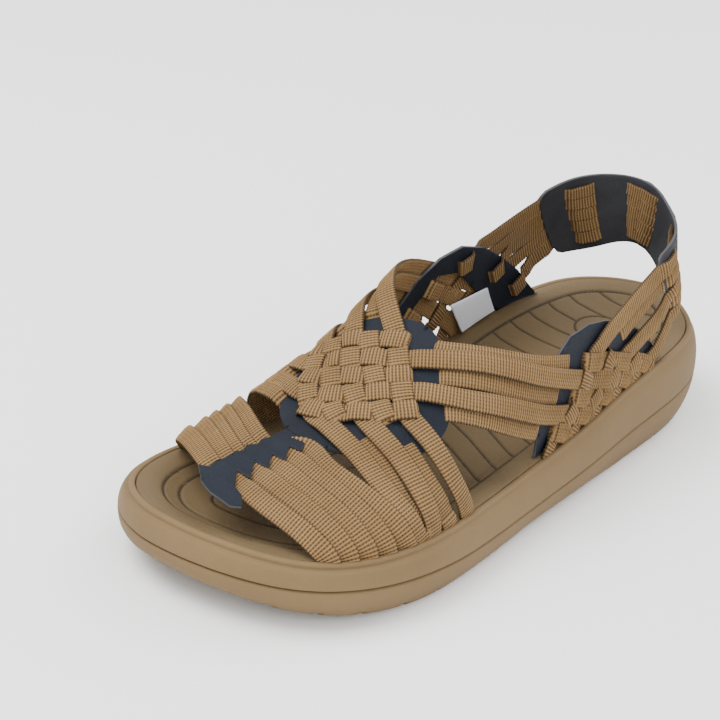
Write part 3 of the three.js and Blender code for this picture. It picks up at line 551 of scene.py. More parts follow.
def webbing_finish():
    material, shader, spot, lay = new_finish(
        "webbing", Roughness=0.88, Specular_IOR_Level=0.18,
        Sheen_Weight=0.1, Sheen_Roughness=0.5, Sheen_Tint=(0.9, 0.7, 0.45, 1),
    )
    along, across = lay.part(0), lay.part(1)
    wander = spot.noise(600, 2) - 0.5
    rib = (along * (2 * math.pi / RIB_PITCH) + wander * 0.8 + math.pi / 2).sine() * 0.5 + 0.5
    warp = (across * (2 * math.pi / WARP_PITCH) + wander * 1.5).sine() * 0.5 + 0.5
    hollow = (1 - rib).power(1.7)
    dive = hollow * warp.power(2.0)
    fibre = spot.noise(2400, 3)
    cloud = spot.noise(45, 3)
    aside = lay.part(2)
    edge = (aside.maths("ABSOLUTE", aside) - EDGE_SHADOW_START) * (1 / EDGE_SHADOW_WIDTH)
    base = cloud.tint((0.3, (0.205, 0.122, 0.050)), (0.7, (0.262, 0.161, 0.07)))
    # The rib crests are lightened as a painted highlight, mixed with the yarn's real fibre variation.
    fibre_and_rib_highlight = (fibre * 0.55 + rib * 0.45).tint((0.1, (0.66, 0.64, 0.6)), (0.9, (1.14, 1.13, 1.1)))
    toned = base.times(fibre_and_rib_highlight)
    # Painted shade: the hollows between the ribs are darkened where shade falls.
    shaded = (hollow * 0.6).mix(toned, (0.06, 0.031, 0.012))
    # Painted shade: the small gaps where the warp dives are darkened almost to black.
    gap_shaded = (dive * 0.8).clamped().mix(shaded, (0.022, 0.011, 0.005))
    # Painted shadow: the rolled edges are darkened, as where neighbouring straps shade each other.
    colour = (edge.clamped() * 0.8).mix(gap_shaded, (0.02, 0.011, 0.005))
    feed(shader, "Base Color", colour)
    feed_bump(shader, rib * 0.6 + fibre * 0.3 - dive * 0.4, 0.0004, 0.9)
    return material


webbing = webbing_finish()
print("made the finish", webbing.name)

# %% [markdown]
# The leather is a dark blue-grey split hide with a fine pebbled face. Its cut edge shows
# paler fibres: the third part of the lay attribute is 0 on both faces and 1 between them.
# The heel band's leather is rougher and greyer.

# %% Leather finish
def leather_finish(name, low, high, rough):
    material, shader, spot, lay = new_finish(name, Specular_IOR_Level=0.14)
    grain = spot.noise(1500, 4, 0.6)
    cloud = spot.noise(60, 3)
    pores = spot.noise(4200, 2)
    face = (cloud * 0.6 + grain * 0.4).tint((0.3, low), (0.75, high))
    edge = lay.part(2).power(2.0).clamped()
    feed(shader, "Base Color", (edge * 0.6).mix(face, (0.09, 0.088, 0.092)))
    feed(shader, "Roughness", (grain * 0.22 + rough).clamped())
    feed_bump(shader, grain + pores * 0.35, 0.00028, 0.75)
    return material


LEATHER_TONES = [(0.0055, 0.0075, 0.0125), (0.0115, 0.0148, 0.023)]
SUEDE_TONES = [(0.019, 0.02, 0.023), (0.042, 0.043, 0.048)]
leather = leather_finish("dark_leather", *LEATHER_TONES, rough=0.5)
suede = leather_finish("band_leather", *SUEDE_TONES, rough=0.66)
print("made the finishes", leather.name, suede.name)

# %% [markdown]
# The sole is moulded foam: a matt olive tan skin with a very fine grain and faint clouds.
# The footbed is the same foam in a darker brown with a coarser, leather-like grain. Its
# third lay part is the depth of the engraving, where painted shade darkens the grooves.

# %% Foam finishes
def foam_finish(name, low, high, grain_size, rough, bump):
    material, shader, spot, lay = new_finish(name, Specular_IOR_Level=0.2)
    grain = spot.noise(grain_size, 4, 0.6)
    cloud = spot.noise(22, 3)
    speck = spot.noise(900, 2)
    face = (cloud * 0.55 + grain * 0.3 + speck * 0.15).tint((0.32, low), (0.68, high))
    groove_shade = lay.part(2).clamped()
    # Painted shade: the engraved grooves are darkened in proportion to their depth.
    feed(shader, "Base Color", (groove_shade * 0.9).mix(face, (0.012, 0.008, 0.004)))
    feed(shader, "Roughness", (grain * 0.15 + rough).clamped())
    feed_bump(shader, grain, bump, 0.8)
    return material


SOLE_TONES = [(0.135, 0.087, 0.039), (0.172, 0.113, 0.052)]
FOOTBED_TONES = [(0.094, 0.063, 0.029), (0.132, 0.09, 0.043)]
sole_foam = foam_finish("sole_foam", *SOLE_TONES, grain_size=1900, rough=0.6, bump=0.00012)
footbed_foam = foam_finish("footbed_foam", *FOOTBED_TONES, grain_size=1100, rough=0.6, bump=0.0003)
print("made the finishes", sole_foam.name, footbed_foam.name)

# %% [markdown]
# ## The sole
#
# The sole is two moulded layers, seen from outside as one fat band with a parting groove
# at half height and a thin lip on top. Each layer is a skin through rings: every ring is
# the same outline, set out or in and moved up or down.

# %% Rings round the sole
STATIONS = 360
HEEL_BULGE_GAIN = 0.5
HEEL_BULGE_END = 0.12


def outline_stations():
    step = np.arange(STATIONS)
    half = STATIONS // 2
    outside = step < half
    place = np.where(outside, step, STATIONS - 1 - step)
    along = (1 - np.cos(math.pi * (place + 0.5) / half)) / 2
    x = np.where(outside, sole_width("outer", along), -sole_width("inner", along))
    return along, x, to_y(along)


ALONG, EDGE_X, EDGE_Y = outline_stations()


def outline_ring(offset, height):
    """The outline moved out by offset, with its heights, one for each station."""
    out_x = np.roll(EDGE_Y, 1) - np.roll(EDGE_Y, -1)
    out_y = np.roll(EDGE_X, -1) - np.roll(EDGE_X, 1)
    size = np.hypot(out_x, out_y)
    share = offset / size
    return np.stack([EDGE_X + out_x * share, EDGE_Y + out_y * share, height], -1)


def inner_ring(share, height):
    """The outline drawn in towards the middle line, which it reaches at share 1."""
    middle = (sole_width("outer", ALONG) - sole_width("inner", ALONG)) / 2
    x = middle + (EDGE_X - middle) * (1 - share)
    y = EDGE_Y * (1 - share * BALL_WIDTH / SOLE_LENGTH)
    return np.stack([x, y, height], -1)


RIM = sole_height("rim", ALONG)
GROOVE = sole_height("groove", ALONG)
BOTTOM = sole_height("bottom", ALONG)
toward_heel = ease((HEEL_BULGE_END - ALONG) / HEEL_BULGE_END)
BULGE = SIDE_BULGE * (1 + HEEL_BULGE_GAIN * toward_heel)
perimeter = float(np.hypot(np.diff(EDGE_X), np.diff(EDGE_Y)).sum())
print("perimeter of the rim in mm:", round(perimeter))

# %% [markdown]
# The outsole starts as a skin from the middle of its underside, out to the edge, up the
# bulged side to the parting groove, and back to the middle. Its tread is cut by bars: the
# grooves run right across, so their ends notch the bottom edge as in the photograph.

# %% Outsole
LAYER_GAP = 0.18
GROOVE_BITE = 1.1
LUG_GROOVES = [0.07, 0.13, 0.19, 0.25, 0.31, 0.63, 0.69, 0.75, 0.81, 0.87, 0.92, 0.96]
LUG_WIDTH = 3
LUG_DEPTH = 2
LUG_ROUND = 0.6
OUTSOLE_FOOT = [[-2.6, 0], [-1.5, 0.12], [-0.6, 0.55], [0.1, 1.3]]
OUTSOLE_SIDE = [[0.28, 0.45], [0.45, 0.7], [0.65, 0.88], [0.85, 0.98]]


def level_ring(share, name, rise):
    ring = inner_ring(share, RIM)
    ring[:, 2] = sole_height(name, to_along(ring[:, 1])) + rise
    return ring


def side_ring(share_up, bulge, low, high):
    return outline_ring(BULGE * bulge, low + (high - low) * share_up)


outsole_rings = np.array([
    *[level_ring(share, "bottom", 0) for share in (1, 0.8, 0.6, 0.4, 0.25, 0.12)],
    *[outline_ring(offset, BOTTOM + rise) for offset, rise in OUTSOLE_FOOT],
    *[side_ring(share_up, bulge, BOTTOM, GROOVE) for share_up, bulge in OUTSOLE_SIDE],
    outline_ring(BULGE, GROOVE - LAYER_GAP - 0.8),
    outline_ring(BULGE - 0.15, GROOVE - LAYER_GAP - 0.35),
    outline_ring(BULGE - GROOVE_BITE, GROOVE - LAYER_GAP),
    *[level_ring(share, "groove", -LAYER_GAP) for share in (0.15, 0.5, 1)],
])
outsole = link_mesh("outsole_dressed", skin(outsole_rings, folded=True), sole_foam)


def tread_bars():
    bm = bmesh.new()
    size = (2 * BALL_WIDTH, LUG_WIDTH, 2 * HEEL_HEIGHT)
    for along in LUG_GROOVES:
        verts = bmesh.ops.create_cube(bm, size=1)["verts"]
        bmesh.ops.scale(bm, vec=[part / 1000 for part in size], verts=verts)
        top = float(sole_height("bottom", along)) + LUG_DEPTH - HEEL_HEIGHT
        place = to_metres([0.0, float(to_y(along)), top])
        bmesh.ops.translate(bm, vec=place, verts=verts)
    bmesh.ops.bevel(
        bm, geom=bm.edges, offset=LUG_ROUND / 1000, segments=2, profile=0.5,
        affect="EDGES", material=-1,
    )
    mesh = bpy.data.meshes.new("tread_bars")
    bm.to_mesh(mesh)
    bm.free()
    return bpy.data.objects.new("tread_bars", mesh)


bars = tread_bars()
bpy.context.scene.collection.objects.link(bars)
cutter = outsole.modifiers.new("tread", "BOOLEAN")
cutter.operation = "DIFFERENCE"
cutter.solver = "MANIFOLD"
cutter.object = bars
evaluated = outsole.evaluated_get(bpy.context.evaluated_depsgraph_get())
cut_mesh = bpy.data.meshes.new_from_object(evaluated)
outsole.modifiers.clear()
outsole.data = cut_mesh
bpy.data.objects.remove(bars)
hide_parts("outsole")
print("outsole faces:", len(outsole.data.polygons))

# %% [markdown]
# The midsole is the upper layer: the same outline, bulged at the groove and drawn in to a
# thin lip at the top, with a tray inside it for the footbed.

# %% Midsole
TRAY_DEPTH = 8.3
MIDSOLE_SIDE = [[0.2, 0.99], [0.35, 0.93], [0.5, 0.83], [0.65, 0.66], [0.78, 0.46]]
MIDSOLE_LIP = [
    [0.32, 2.0], [0.0, 1.7], [0.08, 1.3], [-0.05, 0.55], [-0.35, 0.15], [-0.8, 0], [-1.7, 0],
]
midsole_rings = np.array([
    *[level_ring(share, "groove", LAYER_GAP) for share in (1, 0.5, 0.15)],
    outline_ring(BULGE - GROOVE_BITE, GROOVE + LAYER_GAP),
    outline_ring(BULGE - 0.15, GROOVE + LAYER_GAP + 0.35),
    outline_ring(BULGE, GROOVE + LAYER_GAP + 0.9),
    *[side_ring(share_up, bulge, GROOVE, RIM) for share_up, bulge in MIDSOLE_SIDE],
    *[outline_ring(offset, RIM - drop) for offset, drop in MIDSOLE_LIP],
    outline_ring(-SLOT_INSET + LAYER_GAP, RIM - 0.25),
    outline_ring(-SLOT_INSET + LAYER_GAP, RIM - TRAY_DEPTH),
    *[level_ring(share, "rim", -TRAY_DEPTH) for share in (0.15, 0.5, 1)],
])
midsole = link_mesh("midsole_dressed", skin(midsole_rings, folded=True), sole_foam)
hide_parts("midsole")
print("midsole faces:", len(midsole.data.polygons))

# %% [markdown]
# The footbed is one moulded pad: a nearly level band round the edge, then a hollow that
# cradles the foot. Thin engraved lines follow its edge, cross the heel, sweep over the
# waist and echo the toe. They are cut into the mesh itself, so it has many fine rings.

# %% Footbed
FOOTBED_DEPTH = 8
ENGRAVE_DEPTH = 0.6
ENGRAVE_WIDTH = 0.5
BAND_INSET = 9.5
HEEL_CIRCLE = [0.15, 10.5]
HEEL_CIRCLE_X = 1.0
LINE_SHIFT = 200
HEEL_LINES = {"from": 0.03, "to": 0.4, "pitch": 12.0, "bow": 0.0006, "bow_x": -4}
WAIST_LINES = {"from": 0.405, "to": 0.665, "pitch": 11.0, "slant": 0.55, "bow": 0.006, "bow_x": 20}
TOE_LINES = {"from": 0.675, "pitch": 11.5, "start": 3, "reach": 46}
HOLLOW_INSETS = np.array([0.0, 3.0, 7.0, 15.0, 27.0, 52.0])
HOLLOW_SHARES = np.array([0, 0, 0.12, 0.75, 1.0, 1.0])
hollow_profile = steady_curve(HOLLOW_INSETS, HOLLOW_SHARES)


def near_line(distance):
    return np.exp(-(distance / ENGRAVE_WIDTH) ** 2)


def many_lines(value, pitch):
    """Near 1 on each of the lines that value crosses, one every pitch."""
    return near_line(np.abs(value % pitch - pitch / 2))


def engraving(x, y, inset):
    """How deep the engraving is, from 0 to 1, at places on the footbed."""
    along = to_along(y)
    past_band = inset - BAND_INSET
    within = past_band > 0
    circle_y = float(to_y(HEEL_CIRCLE[0]))
    past_circle = np.hypot(x - HEEL_CIRCLE_X, y - circle_y) - HEEL_CIRCLE[1]
    heel = within & (past_circle > 0) & (along > HEEL_LINES["from"]) & (along < HEEL_LINES["to"])
    bow = HEEL_LINES["bow"] * (x - HEEL_LINES["bow_x"]) ** 2
    heel_lines = many_lines(y - circle_y + LINE_SHIFT + bow, HEEL_LINES["pitch"])
    waist = within & (along >= WAIST_LINES["from"]) & (along < WAIST_LINES["to"])
    bow = WAIST_LINES["bow"] * (x - WAIST_LINES["bow_x"]) ** 2
    sweep = y + WAIST_LINES["slant"] * x + bow + LINE_SHIFT
    toes = (past_band > TOE_LINES["start"]) & (inset < TOE_LINES["reach"])
    return np.max([
        near_line(past_band),
        near_line(past_circle) * within,
        heel_lines * heel,
        many_lines(sweep, WAIST_LINES["pitch"]) * waist,
        many_lines(past_band, TOE_LINES["pitch"]) * (toes & (along >= TOE_LINES["from"])),
    ], axis=0)


def edge_distance(x, y, edge):
    """How far places are from a closed edge."""
    nearest = np.full(x.shape, 1e9)
    for a, b in zip(edge, np.roll(edge, -1, 0)):
        run = b - a
        share = np.clip(((x - a[0]) * run[0] + (y - a[1]) * run[1]) / (run @ run), 0, 1)
        apart = np.hypot(x - a[0] - share * run[0], y - a[1] - share * run[1])
        nearest = np.minimum(nearest, apart)
    return nearest


SECTION_STEP = 0.62
ACROSS_STEPS = 150
TIP_SHARE = 0.03
TIP_STEPS = 24
CRADLE_LOSS = 0.25
EDGE_DROP = 0.35
EDGE_DROP_REACH = 0.3
pad_edge = outline_ring(-SLOT_INSET - LAYER_GAP, RIM)[:, :2]
half = STATIONS // 2
heel_y, toe_y = pad_edge[:half, 1].max(), pad_edge[:half, 1].min()
tip = TIP_SHARE * (1 - np.cos(np.linspace(0.12, math.pi / 2, TIP_STEPS)))
middle = np.arange(TIP_SHARE, 1 - TIP_SHARE, SECTION_STEP / (heel_y - toe_y))[1:]
section_shares = np.concatenate([tip, middle, 1 - tip[::-1]])
section_y = heel_y + (toe_y - heel_y) * section_shares
outer_x = np.interp(-section_y, -pad_edge[:half, 1], pad_edge[:half, 0])
inner_x = np.interp(section_y, pad_edge[half:, 1], pad_edge[half:, 0])
across = np.linspace(0, 1, ACROSS_STEPS)
pad_x = inner_x[:, None] + (outer_x - inner_x)[:, None] * across
pad_y = np.broadcast_to(section_y[:, None], pad_x.shape)
pad_inset = edge_distance(pad_x, pad_y, pad_edge)
pad_depth = engraving(pad_x, pad_y, pad_inset)
pad_rim = sole_height("rim", to_along(pad_y))
cradle = 1 - CRADLE_LOSS * ease((to_along(pad_y) - 0.5) / 0.3)
pad_z = pad_rim - FOOTBED_HOLLOW * cradle * hollow_profile(pad_inset) - ENGRAVE_DEPTH * pad_depth
pad_z = pad_z - EDGE_DROP * np.exp(-pad_inset / EDGE_DROP_REACH)
under_rows = [0, ACROSS_STEPS // 3, 2 * ACROSS_STEPS // 3, ACROSS_STEPS - 1]
top = np.stack([pad_x, pad_y, pad_z], -1)
under = np.stack([pad_x, pad_y, pad_rim - FOOTBED_DEPTH], -1)[:, under_rows[::-1]]
top_lay = np.stack([pad_inset, pad_inset * 0, pad_depth], -1)
pad_rings = np.concatenate([top, under], 1)
pad_lay = np.concatenate([top_lay, np.zeros(under.shape)], 1)
footbed = link_mesh("footbed_dressed", skin(pad_rings, pad_lay), footbed_foam)
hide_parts("footbed")
print("footbed faces:", len(footbed.data.polygons))

# %% [markdown]
# ## Straps
#
# Twenty flat webbing straps make the upper. Each is a line laid on the last between named
# places, with its ends in the slot behind the rim. Where two straps cross, one is lifted
# and the other pressed in. Their order alternates, which makes the weave.

# %% Strap sizes and places
STRAP_WIDTH = 7.9
STRAP_THICKNESS = 1.4
STRAP_TUCK = 5
FOOT_STEER = 0.6
FOOT_RISE = 2.4
CROSSING_LIFT = 0.62
LEATHER_THICKNESS = 1.3
LAY_GAP = 0.6
BACKING_LEVEL = -(0.5 + 0.7 + LAY_GAP + LEATHER_THICKNESS / 2)
LEATHER_STEP = LEATHER_THICKNESS / 2 + LAY_GAP + STRAP_THICKNESS / 2
BEHIND_LEVEL = BACKING_LEVEL - LEATHER_STEP
SPAN_LEVEL = -(STRAP_THICKNESS + 0.15)
TOE_DIP = -1.2
REAR_STEP = 8.75

TOE_STRAPS = [
    {"outer": 0.911, "places": [[0.923, 24], [0.917, 62], [0.913, 105]], "inner": 0.829},
    {"outer": 0.888, "places": [[0.893, 28], [0.888, 67], [0.891, 105]], "inner": 0.797},
    {"outer": 0.864, "places": [[0.868, 31.5], [0.864, 66], [0.875, 104]], "inner": 0.776},
    {"outer": 0.838, "places": [[0.846, 34.5], [0.841, 65], [0.859, 101]], "inner": 0.754},
    {"outer": 0.8085, "places": [[0.827, 36.5], [0.817, 64.5], [0.84, 97]], "inner": 0.733},
]
REAR_OUTER_STRAPS = [
    {"inner": 0.624, "outer": 0.235,
     "places": [[0.69, 112], [0.669, 97], [0.647, 77], [0.617, 57],
                [0.501, 35], [0.396, 29.3], [0.307, 18.3]]},
    {"inner": 0.645, "outer": 0.286,
     "places": [[0.711, 111], [0.692, 91], [0.665, 70], [0.599, 47.6], [0.507, 32], [0.408, 22.7]]},
    {"inner": 0.666, "outer": 0.339,
     "places": [[0.731, 107.5], [0.712, 82.5], [0.68, 62.7], [0.511, 25.6], [0.425, 16.6]]},
    {"inner": 0.687, "outer": 0.396,
     "places": [[0.752, 100], [0.729, 72.7], [0.691, 55], [0.626, 35.4], [0.512, 18.2], [0.438, 10.2]]},
    {"inner": 0.712, "outer": 0.452,
     "places": [[0.769, 90], [0.743, 60.4], [0.709, 46.8], [0.511, 11.3]]},
]
REAR_INNER_STRAPS = [
    {"outer": 0.789, "inner": 0.458,
     "places": [[0.799, 20], [0.787, 41], [0.777, 68], [0.769, 90],
                [0.731, 107.5], [0.69, 112], [0.588, 127], [0.5, 135]]},
    {"outer": 0.777, "inner": 0.398,
     "places": [[0.789, 15], [0.777, 34], [0.76, 73], [0.723, 93.5],
                [0.679, 106], [0.578, 120.5], [0.493, 127]]},
    {"outer": 0.76, "inner": 0.336,
     "places": [[0.764, 15], [0.758, 30], [0.743, 60.4], [0.712, 82.5],
                [0.669, 97], [0.578, 111], [0.491, 120]]},
    {"outer": 0.73, "inner": 0.277,
     "places": [[0.745, 19], [0.743, 30], [0.731, 51], [0.698, 72],
                [0.662, 88.4], [0.578, 103], [0.5, 113.4]]},
    {"outer": 0.693, "inner": 0.221,
     "places": [[0.71, 15], [0.714, 30], [0.709, 46.8], [0.68, 62.7],
                [0.647, 77], [0.599, 96.5], [0.518, 107.7]]},
]
HEEL_STRAPS = [
    {"outer": 0.486, "rise": [[0.425, 16.6], [0.396, 29.3], [0.283, 43]], "level": 0.82,
     "fall": [[0.282, 130], [0.387, 129], [0.415, 136]], "inner": 0.493},
    {"outer": 0.424, "rise": [[0.36, 14.2], [0.347, 24.3]], "level": 0.66,
     "fall": [[0.281, 139], [0.345, 141]], "inner": 0.429},
    {"outer": 0.367, "rise": [[0.307, 18.3], [0.198, 32]], "level": 0.5,
     "fall": [[0.281, 148.3]], "inner": 0.367},
    {"outer": 0.311, "rise": [[0.255, 15]], "level": 0.34, "fall": [[0.25, 159]], "inner": 0.306},
    {"outer": 0.258, "rise": [[0.225, 5]], "level": 0.18, "fall": [[0.22, 168.5]], "inner": 0.249},
]
BAND_COLUMNS = ["along", "topTurn", "bottomTurn", "top", "bottom"]
BAND_ROWS = [
    [0.0, -2, 30, 2.07, 1.25],
    [0.25, 44, 60, 2.22, 1.42],
    [0.5, 90, 90, 2.4, 1.65],
    [0.75, 130, 115, 2.36, 1.52],
    [1.0, 170, 140, 2.2, 1.39],
]
BAND_CENTRE_ALONG = 0.217
BAND_PASSES = 7
BAND_STRAP_WIDTH = 5.6
BAND_FLAT = 2.6

# %% [markdown]
# A strap's line is a Catmull-Rom spline through its places. It is pulled on to the last,
# then measured, so that everything else on the strap can be said in millimetres from its
# end.

# %% Strap lines
SPLINE_STEPS = 12


def spline_points(controls, steps=SPLINE_STEPS):
    """A centripetal Catmull-Rom spline, which keeps near its points without loops."""
    controls = np.asarray(controls, float)
    first = 2 * controls[0] - controls[1]
    last = 2 * controls[-1] - controls[-2]
    wide = np.vstack([first, controls, last])
    points = []
    for i in range(len(controls) - 1):
        p0, p1, p2, p3 = wide[i:i + 4]
        spans = ((p0, p1), (p1, p2), (p2, p3))
        d0, d1, d2 = (math.sqrt(np.linalg.norm(b - a)) for a, b in spans)
        t1 = ((p1 - p0) / d0 - (p2 - p0) / (d0 + d1) + (p2 - p1) / d1) * d1
        t2 = ((p2 - p1) / d1 - (p3 - p1) / (d1 + d2) + (p3 - p2) / d2) * d1
        for t in np.arange(steps) / steps:
            cubic = (2 * p1 - 2 * p2 + t1 + t2) * t ** 3
            points.append(p1 + t1 * t + (3 * p2 - 3 * p1 - 2 * t1 - t2) * t ** 2 + cubic)
    points.append(controls[-1])
    return np.array(points)


def strap_line(controls):
    points = seat(spline_points(controls))
    steps = np.linalg.norm(np.diff(points, axis=0), axis=1)
    lengths = np.concatenate([[0], np.cumsum(steps)])
    return {"points": points, "lengths": lengths, "total": lengths[-1], "marks": [], "tilt": 0}


def foot_controls(along, side, following):
    rim = on_rim(along, side, -FOOT_RISE)
    toward = following - rim
    steer = float(np.clip(toward[1] / max(1, toward[2]), -FOOT_STEER, FOOT_STEER))
    end = on_rim(to_along(rim[1] - steer * (STRAP_TUCK + FOOT_RISE)), side, STRAP_TUCK)
    return [end, rim]


def open_strap(spec, from_side):
    middle = [on_last(along, around) for along, around in spec["places"]]
    first, last = ("outer", "inner") if from_side > 0 else ("inner", "outer")
    start = foot_controls(spec[first], from_side, middle[0])
    end = foot_controls(spec[last], -from_side, middle[-1])[::-1]
    return strap_line([*start, *middle, *end])


BAND_PLACES = column(BAND_COLUMNS, BAND_ROWS, "along")
BAND_CURVES = {
    name: smooth_curve(BAND_PLACES, column(BAND_COLUMNS, BAND_ROWS, name))
    for name in BAND_COLUMNS[1:]
}


def on_band(along, level):
    along = np.asarray(along, float)
    low, high = BAND_CURVES["bottomTurn"](along), BAND_CURVES["topTurn"](along)
    turn = np.radians(low + (high - low) * level)
    low, high = BAND_CURVES["bottom"](along), BAND_CURVES["top"](along)
    height = HEEL_HEIGHT * (low + (high - low) * level)
    centre = np.stack([np.zeros_like(turn), np.full_like(turn, to_y(BAND_CENTRE_ALONG)), height], -1)
    return cast(centre, np.stack([np.cos(turn), np.sin(turn), np.zeros_like(turn)], -1))


def heel_strap(spec):
    rise = [on_last(*place) for place in spec["rise"]]
    fall = [on_last(*place) for place in spec["fall"]]
    shares = (np.arange(BAND_PASSES) + 0.5) / BAND_PASSES
    passes = list(on_band(shares, np.full(BAND_PASSES, spec["level"])))
    start = foot_controls(spec["outer"], 1, rise[0])
    end = foot_controls(spec["inner"], -1, fall[-1])[::-1]
    line = strap_line([*start, *rise, *passes, *fall, *end])
    before = len(start) + len(rise)
    line["band"] = [
        line["lengths"][before * SPLINE_STEPS] - STRAP_WIDTH,
        line["lengths"][(before + BAND_PASSES - 1) * SPLINE_STEPS] + STRAP_WIDTH,
    ]
    for place in range(BAND_PASSES):
        length = line["lengths"][(before + place) * SPLINE_STEPS]
        lift = LEATHER_STEP if place % 2 == 0 else -LEATHER_STEP
        line["marks"].append([length, lift, BAND_FLAT])
    return line


toe_straps = [open_strap(spec, 1) for spec in TOE_STRAPS]
rear_outer = [open_strap(spec, -1) for spec in REAR_OUTER_STRAPS]
rear_inner = [open_strap(spec, 1) for spec in REAR_INNER_STRAPS]
heel_straps = [heel_strap(spec) for spec in HEEL_STRAPS]
every_strap = toe_straps + rear_outer + rear_inner + heel_straps
print("strap lengths in mm:", [round(float(line["total"])) for line in every_strap])

# %% [markdown]
# Now the weave's order. A mark says how far along a strap something happens, how much it
# is lifted there, and for how long. Straps that pass behind leather get a low mark.

# %% Order of the weave
CROSSING_FLAT = 2.7
SPAN_RUN = 7
SPAN_FLAT = 0.5
FOOT_SPAN = 3.0
DIP_FLAT = 1.2
DIP_PLACES = (3, 4)
SHINGLE_TILT = -18


def crossing(first, second):
    apart = np.linalg.norm(first["points"][:, None] - second["points"][None], axis=-1)
    i, j = np.unravel_index(apart.argmin(), apart.shape)
    return first["lengths"][i], second["lengths"][j]


def weave(over, under):
    length, other = crossing(over, under)
    over["marks"].append([length, CROSSING_LIFT, CROSSING_FLAT])
    under["marks"].append([other, -CROSSING_LIFT, CROSSING_FLAT])


def pass_behind(line, length, far_side):
    line["marks"].append([length, BEHIND_LEVEL, CROSSING_FLAT])
    if far_side:
        line["marks"].append([length + far_side * SPAN_RUN, SPAN_LEVEL, SPAN_FLAT])


for line in toe_straps:
    line["tilt"] = SHINGLE_TILT
    for place in DIP_PLACES:
        line["marks"].append([line["lengths"][place * SPLINE_STEPS], TOE_DIP, DIP_FLAT])
for i, outer_line in enumerate(rear_outer):
    for j, inner_line in enumerate(rear_inner):
        pair = (outer_line, inner_line) if (i + j) % 2 == 0 else (inner_line, outer_line)
        weave(*pair)
for line in rear_outer[::2] + rear_inner[1::2]:
    lengths = [mark[0] for mark in line["marks"]]
    pass_behind(line, min(lengths) - REAR_STEP, 0)
    pass_behind(line, max(lengths) + REAR_STEP, 1)
for line in rear_inner[1::2]:
    line["marks"].append([STRAP_TUCK + FOOT_RISE + FOOT_SPAN, SPAN_LEVEL, SPAN_FLAT])


def weave_quarter(straps, heel_over_when_even):
    for i, line in enumerate(straps):
        for k, heel in enumerate(heel_straps):
            if i + k < len(straps):
                heel_over = ((i + k) % 2 == 0) == heel_over_when_even
                weave(*((heel, line) if heel_over else (line, heel)))


inner_quarter = rear_inner[::-1]
weave_quarter(rear_outer, False)
weave_quarter(inner_quarter, True)
for line in rear_outer[::2] + inner_quarter[1::2]:
    pass_behind(line, crossing(line, heel_straps[0])[0] - REAR_STEP, -1)
for k, line in enumerate(heel_straps):
    if k % 2 == 1:
        pass_behind(line, crossing(line, rear_outer[0])[0] + REAR_STEP, 1)
    else:
        pass_behind(line, crossing(line, inner_quarter[0])[0] - REAR_STEP, -1)
print("marks on the heel straps:", [len(line["marks"]) for line in heel_straps])

# %% [markdown]
# A strap's body is a skin through a rounded flat section. The section is a little crowned,
# as webbing is under tension, and its corners are soft.

# %% Strap bodies
STATION_STEP = 1.3
RIB_STATIONS = 4
RIB_HEIGHT = 0.13
RIB_SPREAD = 0.014
FOOT_TILT = 0.75
TILT_EASE = 12
RAMP = 6
RAMP_ROOM = 14
KEY_GAP = 0.6
SECTION = np.array([
    [-0.97, 0.45], [-0.86, 0.86], [-0.5, 0.97], [0.0, 1.0], [0.5, 0.97], [0.86, 0.86], [0.97, 0.45],
    [0.97, -0.5], [0.86, -0.9], [0.5, -1.0], [0.0, -1.0], [-0.5, -1.0], [-0.86, -0.9], [-0.97, -0.5],
])
CROWN = 0.28


def lift_along(line, lengths):
    marks = sorted(line["marks"])
    foot = STRAP_TUCK + FOOT_RISE
    keys = [[-1.0, 0.0], [foot, 0.0]]
    for i, (length, lift, flat) in enumerate(marks):
        before = marks[i - 1][0] + marks[i - 1][2] if i else -1e9
        after = marks[i + 1][0] - marks[i + 1][2] if i + 1 < len(marks) else 1e9
        if length - flat - before > RAMP_ROOM:
            from_span = i > 0 and marks[i - 1][1] == SPAN_LEVEL
            keys.append([length - flat - RAMP, SPAN_LEVEL if from_span else 0.0])
        keys += [[length - flat, lift], [length + flat, lift]]
        if after - length - flat > RAMP_ROOM:
            keys.append([length + flat + RAMP, SPAN_LEVEL if lift == SPAN_LEVEL else 0.0])
    keys += [[line["total"] - foot, 0.0], [line["total"] + 1, 0.0]]
    tidy = []
    for key in sorted(keys, key=lambda key: key[0]):
        if not tidy or key[0] - tidy[-1][0] > KEY_GAP:
            tidy.append(key)
    places, lifts = np.array(tidy).T
    i = np.clip(np.searchsorted(places, lengths) - 1, 0, len(places) - 2)
    share = ease((lengths - places[i]) / (places[i + 1] - places[i]))
    return lifts[i] * (1 - share) + lifts[i + 1] * share


def width_along(line, lengths):
    if "band" not in line:
        return np.full(len(lengths), STRAP_WIDTH)
    start, stop = line["band"]
    inside = ease((lengths - start) / STRAP_WIDTH) * ease((stop - lengths) / STRAP_WIDTH)
    return STRAP_WIDTH + (BAND_STRAP_WIDTH - STRAP_WIDTH) * inside


def between(places, coarse, values):
    """Vectors given at coarse places, read at others."""
    return np.stack([np.interp(places, coarse, values[:, axis]) for axis in range(3)], -1)


def strap_frame(line, lengths):
    point = between(lengths, line["lengths"], line["points"])
    ahead = unit(np.gradient(point, axis=0))
    for _ in range(2):
        ahead[1:-1] = unit(ahead[:-2] + 2 * ahead[1:-1] + ahead[2:])
    normal = last_normal(point)
    across = unit(np.cross(normal, ahead))
    normal = unit(np.cross(ahead, across))
    nearest = np.minimum(lengths, line["total"] - lengths) - STRAP_TUCK - FOOT_RISE
    share = FOOT_TILT + (1 - FOOT_TILT) * ease(nearest / TILT_EASE)
    tilt = np.radians(line["tilt"] * share)[:, None]
    tilted = normal * np.cos(tilt) + np.cross(ahead, normal) * np.sin(tilt)
    return point, tilted, unit(np.cross(tilted, ahead))


